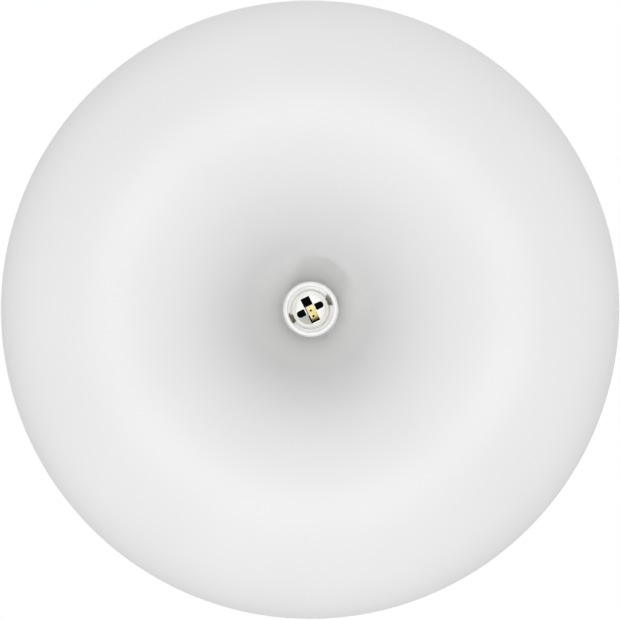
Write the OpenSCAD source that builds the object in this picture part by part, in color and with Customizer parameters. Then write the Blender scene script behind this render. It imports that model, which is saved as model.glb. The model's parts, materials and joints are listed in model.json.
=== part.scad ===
// Ring-shaped ceiling light with a screw lampholder in the middle of its dish.
// The ceiling is the plane z = 0 and the light hangs below it, towards -Z.
// A spun steel shade carries the lampholder. A pressed cup behind its hub hooks on to
// three studs under the ceiling plate, and a short turn of the shade locks it there.

/* [Shade] */
// Diameter over the shade's widest part
shade_d = 400; // [370:5:440]
// Depth of the crest of the ring below the ceiling
shade_h = 125; // [116:1:134]
// Thickness of the spun sheet
sheet_t = 1.2; // [0.8:0.1:1.8]
// Radius of the roll from the crest to the outside
outer_roll_r = 67; // [63:1:74]
// Radius of the roll from the crest into the dish
inner_roll_r = 95; // [84:1:98]
// Angle by which the wall of the dish flattens before it would run straight
wall_curl = 7; // [2:0.5:10]
// Depth of the hub's front face below the ceiling
hub_depth = 34; // [33:0.5:40]
// Fillet between the hub and the wall of the dish
hub_fillet_r = 2; // [1.5:0.5:5]
// Gap between the shade's back edge and the ceiling
ceiling_gap = 3; // [1:0.5:8]
// Radius of the rolled bead at the back edge
bead_r = 2.2; // [1.9:0.1:3]

/* [Ceiling plate] */
// Diameter of the plate
plate_d = 128; // [122:1:140]
// Thickness of the plate
plate_t = 1.5; // [1:0.1:2.5]
// Height of the turned-down rim
plate_rim_h = 9; // [6:0.5:10]
// Bend radius of the rim and of the middle recess
plate_bend_r = 1.5; // [1:0.1:2.5]
// Diameter of the pressed recess round the cable hole
recess_d = 34; // [30:1:38]
// Depth of that recess
recess_h = 3; // [2.8:0.1:5]
// Distance between the two ceiling screw slots
screw_spacing = 60; // [56:1:66]
// Length of each slot over its ends
slot_length = 12; // [8:0.5:14]
// Width of each slot
slot_w = 4.5; // [4:0.1:5.5]
// Diameter of the cable hole
cable_hole_d = 18; // [16:0.5:20]
// Bore of the grommet in the cable hole
grommet_bore_d = 8; // [6:0.5:10]
// Thickness of the grommet's two lips
grommet_lip_t = 1.2; // [0.8:0.1:1.8]

/* [Twist lock] */
// Circle on which the locking studs sit
stud_pcd = 96; // [94:1:100]
// Number of locking studs
stud_count = 3; // [2:1:4]
// Diameter of a stud's shank
stud_d = 5; // [4:0.5:6]
// Diameter of a stud's head
stud_head_d = 9; // [8:0.5:9.5]
// Height of a stud's head
stud_head_h = 2; // [1.5:0.1:3]
// Diameter of the riveted end in the plate
stud_spigot_d = 3.5; // [3:0.1:4]
// Turn of the shade between locked and released
lock_turn = 22; // [20:1:26]
// Depth of the locking flange below the ceiling
lock_depth = 12; // [11:0.5:14]
// Gap between the flange and the heads that carry it
lock_play = 0.1; // [0.1:0.05:0.3]

/* [Mounting cup] */
// Outside diameter of the cup's wall
cup_d = 76; // [74:1:78]
// Diameter of the locking flange
flange_d = 112; // [110:1:116]
// Thickness of the cup
cup_t = 1.5; // [1:0.1:2]
// Bend radius of the cup on its hollow side
cup_bend_r = 2; // [1:0.5:3]
// Circle of the rivets that join cup and hub
rivet_pcd = 26; // [25:0.5:27]
// Diameter of a rivet
rivet_d = 3.2; // [2.6:0.1:3.6]
// Diameter of a rivet's head
rivet_head_d = 5.6; // [5:0.1:6]

/* [Lampholder] */
// Outside diameter of the lampholder
holder_d = 35.4; // [35.2:0.2:38]
// Height from the hub to the mouth
holder_h = 50; // [49:0.5:58]
// Height of the rear cap on the hub
rear_cap_h = 18; // [17.5:0.5:20]
// Wall of the rear cap
rear_cap_wall = 2; // [1.6:0.1:2.2]
// Diameter of the lamp cap's screw bore, over the grooves of its thread
cap_bore_d = 26.7; // [26.5:0.1:27.1]
// Length of that bore
cap_bore_l = 14.4; // [12:0.1:15.2]
// Diameter of the mouth inside its rounded lip
mouth_d = 28.4; // [28:0.1:29]
// Height of the lead-in chamfer between lip and bore
mouth_chamfer_h = 0.3; // [0.2:0.1:0.6]
// Depth from the mouth to the contact island
socket_depth = 26; // [25:0.5:27]
// Diameter of the contact island
island_d = 19.9; // [19.4:0.1:20.6]
// Step from the island down to the ledge round it
island_step = 1.5; // [1:0.1:2]
// Turn of the lampholder about the middle of the light
holder_clock = -26; // [-90:1:90]

/* [Contacts] */
// Width of the middle contact
centre_w = 5.8; // [5:0.1:6]
// Thickness of the contact strip
strip_t = 0.5; // [0.3:0.05:0.6]
// Slope of the middle contact above the island
centre_slope = 19; // [16:1:22]
// Distance of the middle contact's root from the axis
centre_root = 7.6; // [7.2:0.1:8]
// Distance of its free end past the axis
centre_reach = 2.4; // [1.8:0.1:2.6]
// Width of a side contact
side_w = 5.6; // [5:0.1:6]
// Distance from the axis to the bulge of a side contact
side_bulge = 11.6; // [11.4:0.1:12.2]
// Width of the window that a side contact works in
window_w = 7; // [6.8:0.1:7.6]

/* [Nipple and nut] */
// Diameter of the threaded nipple
nipple_d = 10; // [9:0.5:11]
// Bore of the nipple
nipple_bore_d = 7.2; // [6.6:0.1:7.4]
// Width across the flats of its nut
nut_af = 14; // [13:0.5:16]
// Height of the nut
nut_h = 4; // [3:0.5:5]
// Diameter of the earth washer
washer_d = 18; // [17:0.5:19]
// Thickness of the earth washer
washer_t = 1; // [0.6:0.1:1.2]

/* [Terminal block] */
// Distance between the poles
pole_pitch = 11; // [10.6:0.1:11.6]
// Width of one pole's moulding
pole_w = 7.6; // [7:0.1:8]
// Length of the block along the wires
block_l = 17; // [15:0.5:18]
// Height of the block without its screw towers
block_h = 9.5; // [9:0.1:10.5]
// Height of a screw tower
tower_h = 3.5; // [3:0.1:4]
// Distance from the axis to the near face of the block
block_y = 12; // [11.5:0.1:12.5]

/* [Leads] */
// Diameter of a lead over its insulation
lead_d = 2.2; // [1.8:0.1:2.4]

/* [Hidden] */
$fn = 96;
fit = 0.05;          // clearance of a piece in its seat
fine = 32;           // facets of small round pieces
cut = 1;             // how far a cutting tool runs past a face
chord_gap = 0.08;    // farthest that an outline's chord lies from its arc

// Levels, all below the ceiling
hub_z = -hub_depth;
hub_back_z = hub_z + sheet_t;
cup_floor_z = hub_back_z + cup_t;
mouth_z = hub_z - holder_h;
rear_cap_z = hub_z - rear_cap_h;
island_z = mouth_z + socket_depth;
ledge_z = island_z + island_step;
flange_top_z = -lock_depth;
flange_under_z = flange_top_z - cup_t;

// Shade outline
hub_rim_w = 0.1;     // flat of the hub that shows round the lampholder
holder_r = holder_d / 2;
hub_flat_r = holder_r + hub_rim_w;
crest_r = shade_d / 2 - outer_roll_r;
fillet_c = [hub_flat_r, hub_z - hub_fillet_r];
inner_c = [crest_r, inner_roll_r - shade_h];
outer_c = [crest_r, outer_roll_r - shade_h];
// Tilt of the straight line that would touch both the hub's fillet and the inner roll.
centres = inner_c - fillet_c;
reach = inner_roll_r + hub_fillet_r;
straight_tilt = atan2(-centres[1], centres[0]) + asin(reach / norm(centres));
// The wall is a wider roll that leaves the inner roll a little before that tilt, and it
// touches the fillet where it ends.
wall_from = straight_tilt - wall_curl;
wall_dir = [sin(wall_from), cos(wall_from)];
wall_extra = (centres * centres - reach * reach) / (2 * (reach - centres * wall_dir));
wall_r = inner_roll_r + wall_extra;
wall_c = inner_c + wall_extra * wall_dir;
wall_to = atan2(wall_c[0] - fillet_c[0], wall_c[1] - fillet_c[1]);
bead_z = -ceiling_gap - bead_r;
edge_angle = acos((outer_c[1] - bead_z) / (outer_roll_r - bead_r));

// Lampholder
spigot_h = 3;            // spigot of the skirt inside the rear cap
flange_h = 1.5;          // flange of the contact block, held between spigot and cap
block_back_h = 3;        // back of the block above its flange
block_back_r = 12;
cap_seat_w = 1.4;        // step inside the cap that the flange meets
cap_roof_t = 2.5;        // roof of the cap under the hub
cap_edge_r = 1;          // rounded edge of the cap at the hub
boss_h = 6.5;            // boss inside the cap, for the nipple
boss_d = 16;
relief_h = 0.5;          // cone between the bore and the chamber behind it
lip_r = (holder_d - mouth_d) / 4;
lip_sweep = 165;         // how far round the lip's edge turns
bore_start_z = mouth_z + lip_r * (1 - sin(lip_sweep)) + mouth_chamfer_h;
chamber_r = 14.2;        // chamber behind the bore
neck_r = 13;             // neck of the block in the chamber
tongue_gap = 0.15;       // gap between the neck and a side contact
window_angle = 2 * asin(window_w / 2 / neck_r);
window_r = 14.6;         // back of a window beside the bore
pocket_r = 16.2;         // back of the pocket that a side contact moves into
pocket_start = 2;        // how far the pocket reaches down beside the bore
pocket_roof = 1;         // moulding left above the pocket
root_window_r = 14.8;    // back of the window beside a side contact's root
root_notch_w = 1.2;      // notch in the flange for that root
spigot_top_z = rear_cap_z + spigot_h;
block_flange_top_z = spigot_top_z + flange_h;
block_rear_z = block_flange_top_z + block_back_h;
rear_cap_inner_r = holder_r - rear_cap_wall;
rear_cap_core_r = rear_cap_inner_r - cap_seat_w;
block_flange_r = rear_cap_inner_r - 6 * fit;
bore_end_z = bore_start_z + cap_bore_l;
side_root_z = block_flange_top_z;
lock_screw_r = 1.5;      // grub screw through the cap's side
lock_screw_z = hub_z - boss_h / 2 - 1;

// Pockets in the island, along and across the line between the side contacts
square_pocket_w = 6.1;
square_pocket = [-square_pocket_w / 2, -8.6];    // corner
square_pocket_l = 6;
round_pocket_near = 3.5;     // from the axis to the square end of a side pocket
round_pocket_l = 5.8;
round_pocket_w = 4.5;
ramp_h = 2.6;                // depth of the ramp at the side pocket
ramp_end = 8.8;              // where it meets the island's face
ramp_near = 3.8;             // its side along the middle contact
ramp_rim = 0.3;              // rim left at the island's edge
root_recess = [-4.7, 1.1];   // front and back of the strip's recess, from its root
root_recess_h = 3;
root_side_gap = 0.2;

// Middle contact
strip_gap = 0.1;         // gap between island and strip at the strip's root
strip_leg = 3;           // leg of the strip in its recess
strip_notch_w = 0.8;     // notch along the strip's left side
strip_notch_l = 5.4;     // length of that notch from the root
strip_hole_r = 0.8;
strip_holes = [2.8, 6.8];    // from the root
strip_root_z = island_z - strip_t - strip_gap;

// Side contacts
bulge_drop = 5;          // from the island down to the bulge
tip_drop = 4.4;          // from the bulge down to the tip
tip_r = 13.6;            // inner face of the tip
side_shift = -0.5;       // a side contact stands a little to one side of its window's middle

// Clamps of the lampholder
terminal_l = 5;
terminal_w = 6;
terminal_h = 5.5;
terminal_r = 8.6;
lead_level = 2.1;        // leads above the block's back
lead_hole_r = 1.25;
lead_hole_l = 3;
pinch_level = 1;         // clamp screws above the leads
pinch_screw_r = 0.9;
pinch_screw_l = 1.9;
pinch_head_r = 1.6;
pinch_head_h = 1.2;
disc_t = 0.8;            // insulating disc, let into the block's back
disc_r = 10.6;
lead_level_z = block_rear_z + lead_level;
pinch_z = lead_level_z + pinch_level;

// Nipple and its bush
washer_top_z = cup_floor_z + washer_t;
nut_top_z = washer_top_z + nut_h;
nipple_top_z = nut_top_z + 1.3;
nipple_end_z = hub_z - boss_h + 0.1;
bush_h = 1.2;
bush_sleeve_h = 2.5;
bush_wall = 0.6;

// Rivets
rivet_head_h = 1.2;
rivet_head_taper = 0.6;

// Keyholes
slot_play = 0.2;
head_hole_play = 0.7;

// Earth terminal of the plate
earth_thread_r = 1.65;
earth_washer_w = 8;
earth_washer_h = 1.2;
earth_head_d = 7;
earth_head_h = 2.4;
earth_slot_w = 1;
earth_slot_h = 1.2;

// Earth tag
tag_w = 4;
tag_angle = -35;
tag_dir = [cos(tag_angle), sin(tag_angle), 0];
crimp_wall = 0.7;
crimp_r = lead_d / 2 + crimp_wall;
crimp_l = 5;
crimp_h = crimp_r + 0.2;
crimp_start = washer_d / 2 + 2;
crimp_end = crimp_start + crimp_l;

// Grommet
lip_w = 2.2;             // how far its lower lip passes the hole
upper_lip_w = 1.4;
lip_chamfer = 0.4;

// Terminal block
pole_x = [-pole_pitch, 0, pole_pitch];
barrel_r = 2.6;
wire_hole_r = 1.6;
barrel_inset = 1;        // barrel's end inside the moulding
barrel_z = cup_floor_z + 5.2;
tower_r = 3.3;
tower_bore_r = 1.9;
clamp_screw_r = 1.5;
clamp_screw_l = 5.4;
clamp_gap = 0.1;
clamp_y = [block_y + block_l * 0.25, block_y + block_l * 0.75];
web_w = 3.4;
web_h = 4;
fixing_y = block_y + block_l / 2;
fixing_hole_r = 1.6;
fixing_head_r = 1.95;
fixing_head_h = 1.6;

// Slots in the heads of small screws
slot_w_small = 0.5;
slot_h_small = 0.7;

// Points of an arc in the (radius, height) plane, from one angle to another.
function arc_step(r) = min(15, 2 * acos(1 - chord_gap / r));
function arc(c, r, from, to) =
    let (steps = max(2, ceil(abs(to - from) / arc_step(r))))
    [for (i = [0 : steps]) let (a = from + (to - from) * i / steps) [c[0] + r * cos(a), c[1] + r * sin(a)]];

// The two faces of a pressed sheet. A bend is [centre, front radius, side, from, to]:
// side 1 where the front face is hollow, and -1 where it is crowned. Bends that touch share
// a point, so each keeps only what is farther than a hair from the bend before it.
function sheet_faces(bends, t) =
    [for (face = [0, 1])
        let (runs = [for (b = bends) arc(b[0], b[1] + face * b[2] * t, b[3], b[4])])
        [for (k = [0 : len(runs) - 1]) for (i = [0 : len(runs[k]) - 1])
            if (k == 0 || i > 0 || norm(runs[k][0] - runs[k - 1][len(runs[k - 1]) - 1]) > 0.01)
            runs[k][i]]];
function reversed(list) = [for (i = [len(list) - 1 : -1 : 0]) list[i]];
function outline(start, bends, end, t) =
    let (faces = sheet_faces(bends, t))
    concat([start[0]], faces[0], end, reversed(faces[1]), [start[1]]);

// A point on the smooth curve through four route points, with s from 0 to 1 between b and c.
function smooth(a, b, c, d, s) =
    0.5 * (2 * b + (c - a) * s + (2 * a - 5 * b + 4 * c - d) * s * s + (3 * b - a - 3 * c + d) * s * s * s);
function smooth_route(p, per) =
    let (n = len(p))
    concat([for (i = [0 : n - 2]) for (k = [0 : per - 1])
        smooth(p[max(i - 1, 0)], p[i], p[i + 1], p[min(i + 2, n - 1)], k / per)], [p[n - 1]]);
function unit(v) = v / norm(v);

// A tube of radius r along a list of points: each ring stands square to the route, and the
// side vector is carried from ring to ring so that the tube doesn't twist.
function carried(side, along) = unit(side - (side * along) * along);
module tube_along(p, r, sides = 8) {
    n = len(p);
    t = [for (i = [0 : n - 1]) unit(p[min(i + 1, n - 1)] - p[max(i - 1, 0)])];
    first = carried(abs(t[0][2]) > 0.9 ? [1, 0, 0] : [0, 0, 1], t[0]);
    side = [for (i = 0, s = first; i < n; i = i + 1, s = i < n ? carried(s, t[i]) : s) s];
    points = [for (i = [0 : n - 1]) for (k = [0 : sides - 1])
        p[i] + r * (cos(360 * k / sides) * side[i] + sin(360 * k / sides) * cross(t[i], side[i]))];
    walls = [for (i = [0 : n - 2]) for (k = [0 : sides - 1])
        let (a = i * sides + k, b = i * sides + (k + 1) % sides) [a, a + sides, b + sides, b]];
    polyhedron(points, concat(walls,
        [[for (k = [0 : sides - 1]) k]],
        [[for (k = [sides - 1 : -1 : 0]) (n - 1) * sides + k]]), convexity = 6);
}

// A copy of the children at each of count places round a circle.
module around(count, r, first = 0) {
    for (i = [0 : count - 1])
        rotate(first + i * 360 / count)
            translate([r, 0, 0])
                children();
}

// A screwdriver's slot across a head of radius r whose top lies at z.
module screw_slot(r, z) {
    translate([-r - cut, -slot_w_small / 2, z - slot_h_small])
        cube([2 * (r + cut), slot_w_small, slot_h_small + cut]);
}

// A straight slot through a sheet, long in x.
module slot_tool(length, width, z, h) {
    for (x = [-1, 1])
        translate([x * (length - width) / 2, 0, z])
            cylinder(d = width, h = h);
    translate([-(length - width) / 2, -width / 2, z])
        cube([length - width, width, h]);
}

// SHADE

// Spun shell: flat hub, straight wall, crest, outer roll and a rolled bead at the back edge.
module shade() {
    bends = [
        [fillet_c, hub_fillet_r, 1, 90, 90 - wall_to],
        [wall_c, wall_r, -1, 270 - wall_to, 270 - wall_from],
        [inner_c, inner_roll_r, -1, 270 - wall_from, 270],
        [outer_c, outer_roll_r, -1, 270, 360],
        [outer_c, outer_roll_r, -1, 360, 270 + edge_angle]];
    hub_edge = nipple_d / 2 + 2 * fit;
    bead_c = [outer_c[0] + (outer_roll_r - bead_r) * sin(edge_angle), bead_z];
    color("white")
    difference() {
        union() {
            rotate_extrude()
                polygon(outline([[hub_edge, hub_z], [hub_edge, hub_back_z]], bends, [], sheet_t));
            rotate_extrude()
                translate(bead_c)
                    circle(r = bead_r, $fn = fine);
        }
        around(stud_count, rivet_pcd / 2, 30)
            translate([0, 0, hub_z - cut])
                cylinder(d = rivet_d, h = sheet_t + 2 * cut, $fn = fine);
    }
}

// Pressed cup behind the hub, with a flange that has one keyhole for each locking stud.
module mounting_cup() {
    cup_r = cup_d / 2;
    front_bend = cup_bend_r + cup_t;
    bends = [
        [[cup_r - front_bend, hub_back_z + front_bend], front_bend, -1, 270, 360],
        [[cup_r + cup_bend_r, flange_under_z - cup_bend_r], cup_bend_r, 1, 180, 90]];
    hole = nipple_d / 2 + 2 * fit;
    color("gainsboro")
    difference() {
        rotate_extrude()
            polygon(outline([[hole, hub_back_z], [hole, cup_floor_z]], bends,
                [[flange_d / 2, flange_under_z], [flange_d / 2, flange_top_z]], cup_t));
        keyholes();
        around(stud_count, rivet_pcd / 2, 30)
            translate([0, 0, hub_back_z - cut])
                cylinder(d = rivet_d, h = cup_t + 2 * cut, $fn = fine);
        for (x = [-1, 1])
            translate([x * pole_pitch / 2, fixing_y, hub_back_z - cut])
                cylinder(r = fixing_hole_r, h = cup_t + 2 * cut, $fn = fine);
    }
}

// Cutting tools for the keyholes: a narrow curved slot that opens into a hole for the head.
module keyholes() {
    slot_r = stud_d / 2 + slot_play;
    head_hole_r = stud_head_d / 2 + head_hole_play;
    z = flange_under_z - cut;
    h = cup_t + 2 * cut;
    around(stud_count, 0, 90) {
        rotate_extrude(angle = lock_turn)
            translate([stud_pcd / 2 - slot_r, z])
                square([2 * slot_r, h]);
        translate([stud_pcd / 2, 0, z])
            cylinder(r = slot_r, h = h, $fn = 48);
        rotate(lock_turn)
            translate([stud_pcd / 2, 0, z])
                cylinder(r = head_hole_r, h = h, $fn = 48);
    }
}

// Solid rivets, flush in the hub's front face and headed inside the cup.
module hub_rivets() {
    color("silver")
    around(stud_count, rivet_pcd / 2, 30) {
        translate([0, 0, hub_z + fit])
            cylinder(d = rivet_d - 2 * fit, h = cup_floor_z - hub_z, $fn = fine);
        translate([0, 0, cup_floor_z])
            cylinder(d1 = rivet_head_d, d2 = rivet_head_d * rivet_head_taper, h = rivet_head_h, $fn = fine);
    }
}

// Hollow threaded nipple that clamps lampholder, hub and cup together.
module nipple() {
    color("goldenrod")
    difference() {
        translate([0, 0, nipple_end_z])
            cylinder(d = nipple_d, h = nipple_top_z - nipple_end_z);
        translate([0, 0, nipple_end_z - cut])
            cylinder(d = nipple_bore_d, h = nipple_top_z - nipple_end_z + 2 * cut);
    }
}

// Hexagon nut with its corners turned off at both faces.
module nipple_nut() {
    flat_r = nut_af / 2;
    corner_r = flat_r / cos(30);
    chamfer_h = (corner_r - flat_r) * tan(30) + fit;
    color("silver")
    translate([0, 0, washer_top_z])
    difference() {
        intersection() {
            cylinder(r = corner_r, h = nut_h, $fn = 6);
            rotate_extrude()
                polygon([[0, 0], [flat_r, 0],
                    [corner_r + fit, chamfer_h], [corner_r + fit, nut_h - chamfer_h],
                    [flat_r, nut_h], [0, nut_h]]);
        }
        translate([0, 0, -cut])
            cylinder(d = nipple_d + 2 * fit, h = nut_h + 2 * cut);
    }
}

// Washer under the nut, with a tag that ends in a sleeve crimped on the earth lead.
module earth_washer() {
    color("silver")
    translate([0, 0, cup_floor_z])
    difference() {
        union() {
            cylinder(d = washer_d, h = washer_t);
            rotate(tag_angle) {
                translate([washer_d / 2 - 1, -tag_w / 2, 0])
                    cube([crimp_start - washer_d / 2 + 2, tag_w, washer_t]);
                translate([crimp_start, 0, crimp_h])
                    rotate([0, 90, 0])
                        cylinder(r = crimp_r, h = crimp_l, $fn = 48);
            }
        }
        translate([0, 0, -cut])
            cylinder(d = nipple_d + 2 * fit, h = washer_t + 2 * cut);
        rotate(tag_angle)
            translate([crimp_start + 1, 0, crimp_h])
                rotate([0, 90, 0])
                    cylinder(r = lead_d / 2 + fit, h = crimp_l, $fn = 48);
    }
}

// Plastic bush that keeps the leads off the nipple's sharp end.
module nipple_bush() {
    bush_bore_d = nipple_bore_d - 2 * bush_wall;
    color("ivory")
    difference() {
        union() {
            translate([0, 0, nipple_top_z])
                cylinder(d = nipple_d, h = bush_h);
            translate([0, 0, nipple_top_z - bush_sleeve_h])
                cylinder(d = nipple_bore_d - 2 * fit, h = bush_sleeve_h);
        }
        translate([0, 0, nipple_top_z - bush_sleeve_h - cut])
            cylinder(d = bush_bore_d, h = bush_h + bush_sleeve_h + 2 * cut);
    }
}

// CEILING PLATE

// Pressed plate: recess for the grommet, flat face on the ceiling, rim turned down.
module ceiling_plate() {
    rim_r = plate_d / 2;
    recess_r = recess_d / 2;
    hollow = plate_bend_r;
    crowned = plate_bend_r + plate_t;
    swing = acos(1 - recess_h / (hollow + crowned));
    half = (hollow + crowned) * sin(swing);
    hole = cable_hole_d / 2;
    bends = [
        [[recess_r - half, hollow - recess_h], crowned, -1, 270, 270 + swing],
        [[recess_r, -plate_t - hollow], hollow, 1, 90 + swing, 90],
        [[rim_r - crowned, -plate_t - hollow], hollow, 1, 90, 0]];
    color("gainsboro")
    difference() {
        rotate_extrude()
            polygon(outline([[hole, -plate_t - recess_h], [hole, -recess_h]], bends,
                [[rim_r - plate_t, -plate_rim_h], [rim_r, -plate_rim_h]], plate_t));
        for (x = [-1, 1])
            translate([x * screw_spacing / 2, 0, 0])
                slot_tool(slot_length, slot_w, -plate_t - cut, plate_t + 2 * cut);
        around(stud_count, stud_pcd / 2, 90)
            translate([0, 0, -plate_t - cut])
                cylinder(d = stud_spigot_d, h = plate_t + 2 * cut, $fn = 48);
        translate([0, -screw_spacing / 2, -plate_t - cut])
            cylinder(r = earth_thread_r, h = plate_t + 2 * cut, $fn = fine);
    }
}

// Shouldered studs riveted into the plate. Their heads carry the cup's flange.
module locking_studs() {
    head_top_z = flange_under_z - lock_play;
    color("silver")
    around(stud_count, stud_pcd / 2, 90) {
        translate([0, 0, -plate_t])
            cylinder(d = stud_spigot_d - 2 * fit, h = plate_t - 2 * fit, $fn = 48);
        translate([0, 0, head_top_z])
            cylinder(d = stud_d, h = -plate_t - head_top_z, $fn = 48);
        translate([0, 0, head_top_z - stud_head_h])
            cylinder(d1 = stud_head_d - 1, d2 = stud_head_d, h = stud_head_h / 2, $fn = 48);
        translate([0, 0, head_top_z - stud_head_h / 2])
            cylinder(d = stud_head_d, h = stud_head_h / 2, $fn = 48);
    }
}

// Rubber grommet: one lip above the recess, one below, and a waist in the hole.
module cable_grommet() {
    lip_r = cable_hole_d / 2 + lip_w;
    upper_lip_r = cable_hole_d / 2 + upper_lip_w;
    waist_r = cable_hole_d / 2 - fit;
    bore_r = grommet_bore_d / 2;
    top = -recess_h + grommet_lip_t;
    bottom = -recess_h - plate_t - grommet_lip_t;
    lower_seat = bottom + grommet_lip_t - fit;
    upper_seat = top - grommet_lip_t + fit;
    color("dimgray")
    rotate_extrude()
        polygon([[bore_r, bottom], [lip_r - lip_chamfer, bottom], [lip_r, bottom + lip_chamfer],
            [lip_r, lower_seat], [waist_r, lower_seat], [waist_r, upper_seat], [upper_lip_r, upper_seat],
            [upper_lip_r, top - lip_chamfer], [upper_lip_r - lip_chamfer, top], [bore_r, top]]);
}

// Earth screw of the plate, with a slotted pan head under its cup washer.
module earth_screw() {
    head_z = -plate_t - earth_washer_h;
    color("silver")
    translate([0, -screw_spacing / 2, 0])
    difference() {
        union() {
            translate([0, 0, head_z])
                cylinder(r = earth_thread_r - fit, h = -head_z - fit, $fn = fine);
            translate([0, 0, head_z - earth_head_h])
                cylinder(d = earth_head_d, h = earth_head_h, $fn = 48);
        }
        translate([-earth_head_d, -earth_slot_w / 2, head_z - earth_head_h - cut])
            cube([2 * earth_head_d, earth_slot_w, cut + earth_slot_h]);
    }
}

// Square cup washer that traps the earth wire under the screw.
module earth_cup_washer() {
    color("silver")
    translate([0, -screw_spacing / 2, -plate_t - earth_washer_h])
    difference() {
        translate([-earth_washer_w / 2, -earth_washer_w / 2, 0])
            cube([earth_washer_w, earth_washer_w, earth_washer_h]);
        translate([0, 0, -cut])
            cylinder(r = earth_thread_r + 6 * fit, h = earth_washer_h + 2 * cut, $fn = fine);
    }
}

// LAMPHOLDER

// Front sleeve of the lampholder: rounded lip, lead-in, screw bore, and the chamber behind
// it. Two windows let the side contacts reach the lamp cap.
module lampholder_skirt() {
    lip_c = [holder_r - lip_r, mouth_z + lip_r];
    lip_steps = arc(lip_c, lip_r, 360 - lip_sweep, 360);
    spigot_r = rear_cap_inner_r - fit;
    inside_r = neck_r - 2;
    bore_r = cap_bore_d / 2;
    color("white")
    rotate(holder_clock)
    difference() {
        rotate_extrude()
            polygon(concat(
                [[bore_r, bore_end_z], [bore_r, bore_start_z]],
                lip_steps,
                [[holder_r, rear_cap_z], [spigot_r, rear_cap_z], [spigot_r, spigot_top_z]],
                [[chamber_r, spigot_top_z], [chamber_r, bore_end_z + relief_h]]));
        for (side = [0, 180])
            rotate(side - window_angle / 2)
                rotate_extrude(angle = window_angle)
                    polygon([[inside_r, mouth_z - cut], [window_r, mouth_z - cut],
                        [window_r, bore_end_z - pocket_start], [pocket_r, bore_end_z - pocket_start],
                        [pocket_r, rear_cap_z - pocket_roof], [root_window_r, rear_cap_z - pocket_roof],
                        [root_window_r, spigot_top_z + cut], [inside_r, spigot_top_z + cut]]);
    }
}

// Rear cap on the hub, with the threaded boss for the nipple.
module lampholder_rear_cap() {
    core_top_z = hub_z - cap_roof_t;
    thread_r = nipple_d / 2 + fit;
    color("white")
    rotate(holder_clock)
    difference() {
        rotate_extrude()
            polygon(concat(
                [[thread_r, hub_z]],
                arc([holder_r - cap_edge_r, hub_z - cap_edge_r], cap_edge_r, 90, 0),
                [[holder_r, rear_cap_z], [rear_cap_inner_r, rear_cap_z],
                    [rear_cap_inner_r, block_flange_top_z]],
                [[rear_cap_core_r, block_flange_top_z], [rear_cap_core_r, core_top_z]],
                [[boss_d / 2, core_top_z]],
                [[boss_d / 2, hub_z - boss_h], [thread_r, hub_z - boss_h]]));
        translate([0, 0, lock_screw_z])
            rotate([-90, 0, 0])
                cylinder(r = lock_screw_r, h = holder_r + cut, $fn = fine);
    }
}

// Grub screw through the rear cap that stops it turning on the nipple.
module rear_cap_lock_screw() {
    length = 8;
    color("silver")
    rotate(holder_clock)
    translate([0, nipple_d / 2 + 2 * fit, lock_screw_z])
    rotate([-90, 0, 0])
    difference() {
        cylinder(r = lock_screw_r - fit, h = length, $fn = fine);
        screw_slot(lock_screw_r, length);
    }
}

// Moulded block with the round island that the contacts stand on. The pockets go through.
module contact_block() {
    z = island_z - cut;
    pocket_h = block_rear_z - disc_t + fit - z;
    color("whitesmoke")
    rotate(holder_clock)
    difference() {
        rotate_extrude()
            polygon([[0, island_z], [island_d / 2, island_z], [island_d / 2, ledge_z], [neck_r, ledge_z],
                [neck_r, spigot_top_z], [block_flange_r, spigot_top_z],
                [block_flange_r, block_flange_top_z],
                [block_back_r, block_flange_top_z], [block_back_r, block_rear_z],
                [disc_r + fit, block_rear_z], [disc_r + fit, block_rear_z - disc_t],
                [0, block_rear_z - disc_t]]);
        // Square pocket across from the middle contact.
        translate([square_pocket[0], square_pocket[1], z])
            cube([square_pocket_w, square_pocket_l, pocket_h]);
        // Pockets on both sides of it, square towards the axis and round at the far end.
        for (side = [0, 180])
            rotate(side) {
                translate([round_pocket_near, -round_pocket_w / 2, z])
                    cube([round_pocket_l - round_pocket_w / 2, round_pocket_w, pocket_h]);
                translate([round_pocket_near + round_pocket_l - round_pocket_w / 2, 0, z])
                    cylinder(d = round_pocket_w, h = pocket_h, $fn = 48);
            }
        // Ramp that sinks from the island's edge towards the pocket on the left.
        intersection() {
            translate([0, 0, z])
                cylinder(r = island_d / 2 - ramp_rim, h = ramp_h + 2 * cut);
            translate([-island_d / 2, 0, 0])
                rotate([90, 0, 90])
                    linear_extrude(island_d / 2 - ramp_near)
                        polygon([[round_pocket_w / 2 - fit, z], [ramp_end, z], [ramp_end, island_z],
                            [round_pocket_w / 2 - fit, island_z + ramp_h]]);
        }
        // Recess for the root of the middle contact.
        translate([-centre_w / 2 - root_side_gap, centre_root + root_recess[0], z])
            cube([centre_w + 2 * root_side_gap, root_recess[1] - root_recess[0], cut + root_recess_h]);
        // Notches in the flange for the roots of the side contacts.
        for (side = [0, 180])
            rotate(side - window_angle / 2)
                rotate_extrude(angle = window_angle)
                    translate([neck_r - fit, spigot_top_z - cut])
                        square([root_notch_w, flange_h + 2 * cut]);
    }
}

// Dark insulating disc let into the back of the block. It closes the pockets.
module insulating_disc() {
    color("black")
    translate([0, 0, block_rear_z - disc_t])
        cylinder(r = disc_r, h = disc_t);
}

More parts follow.
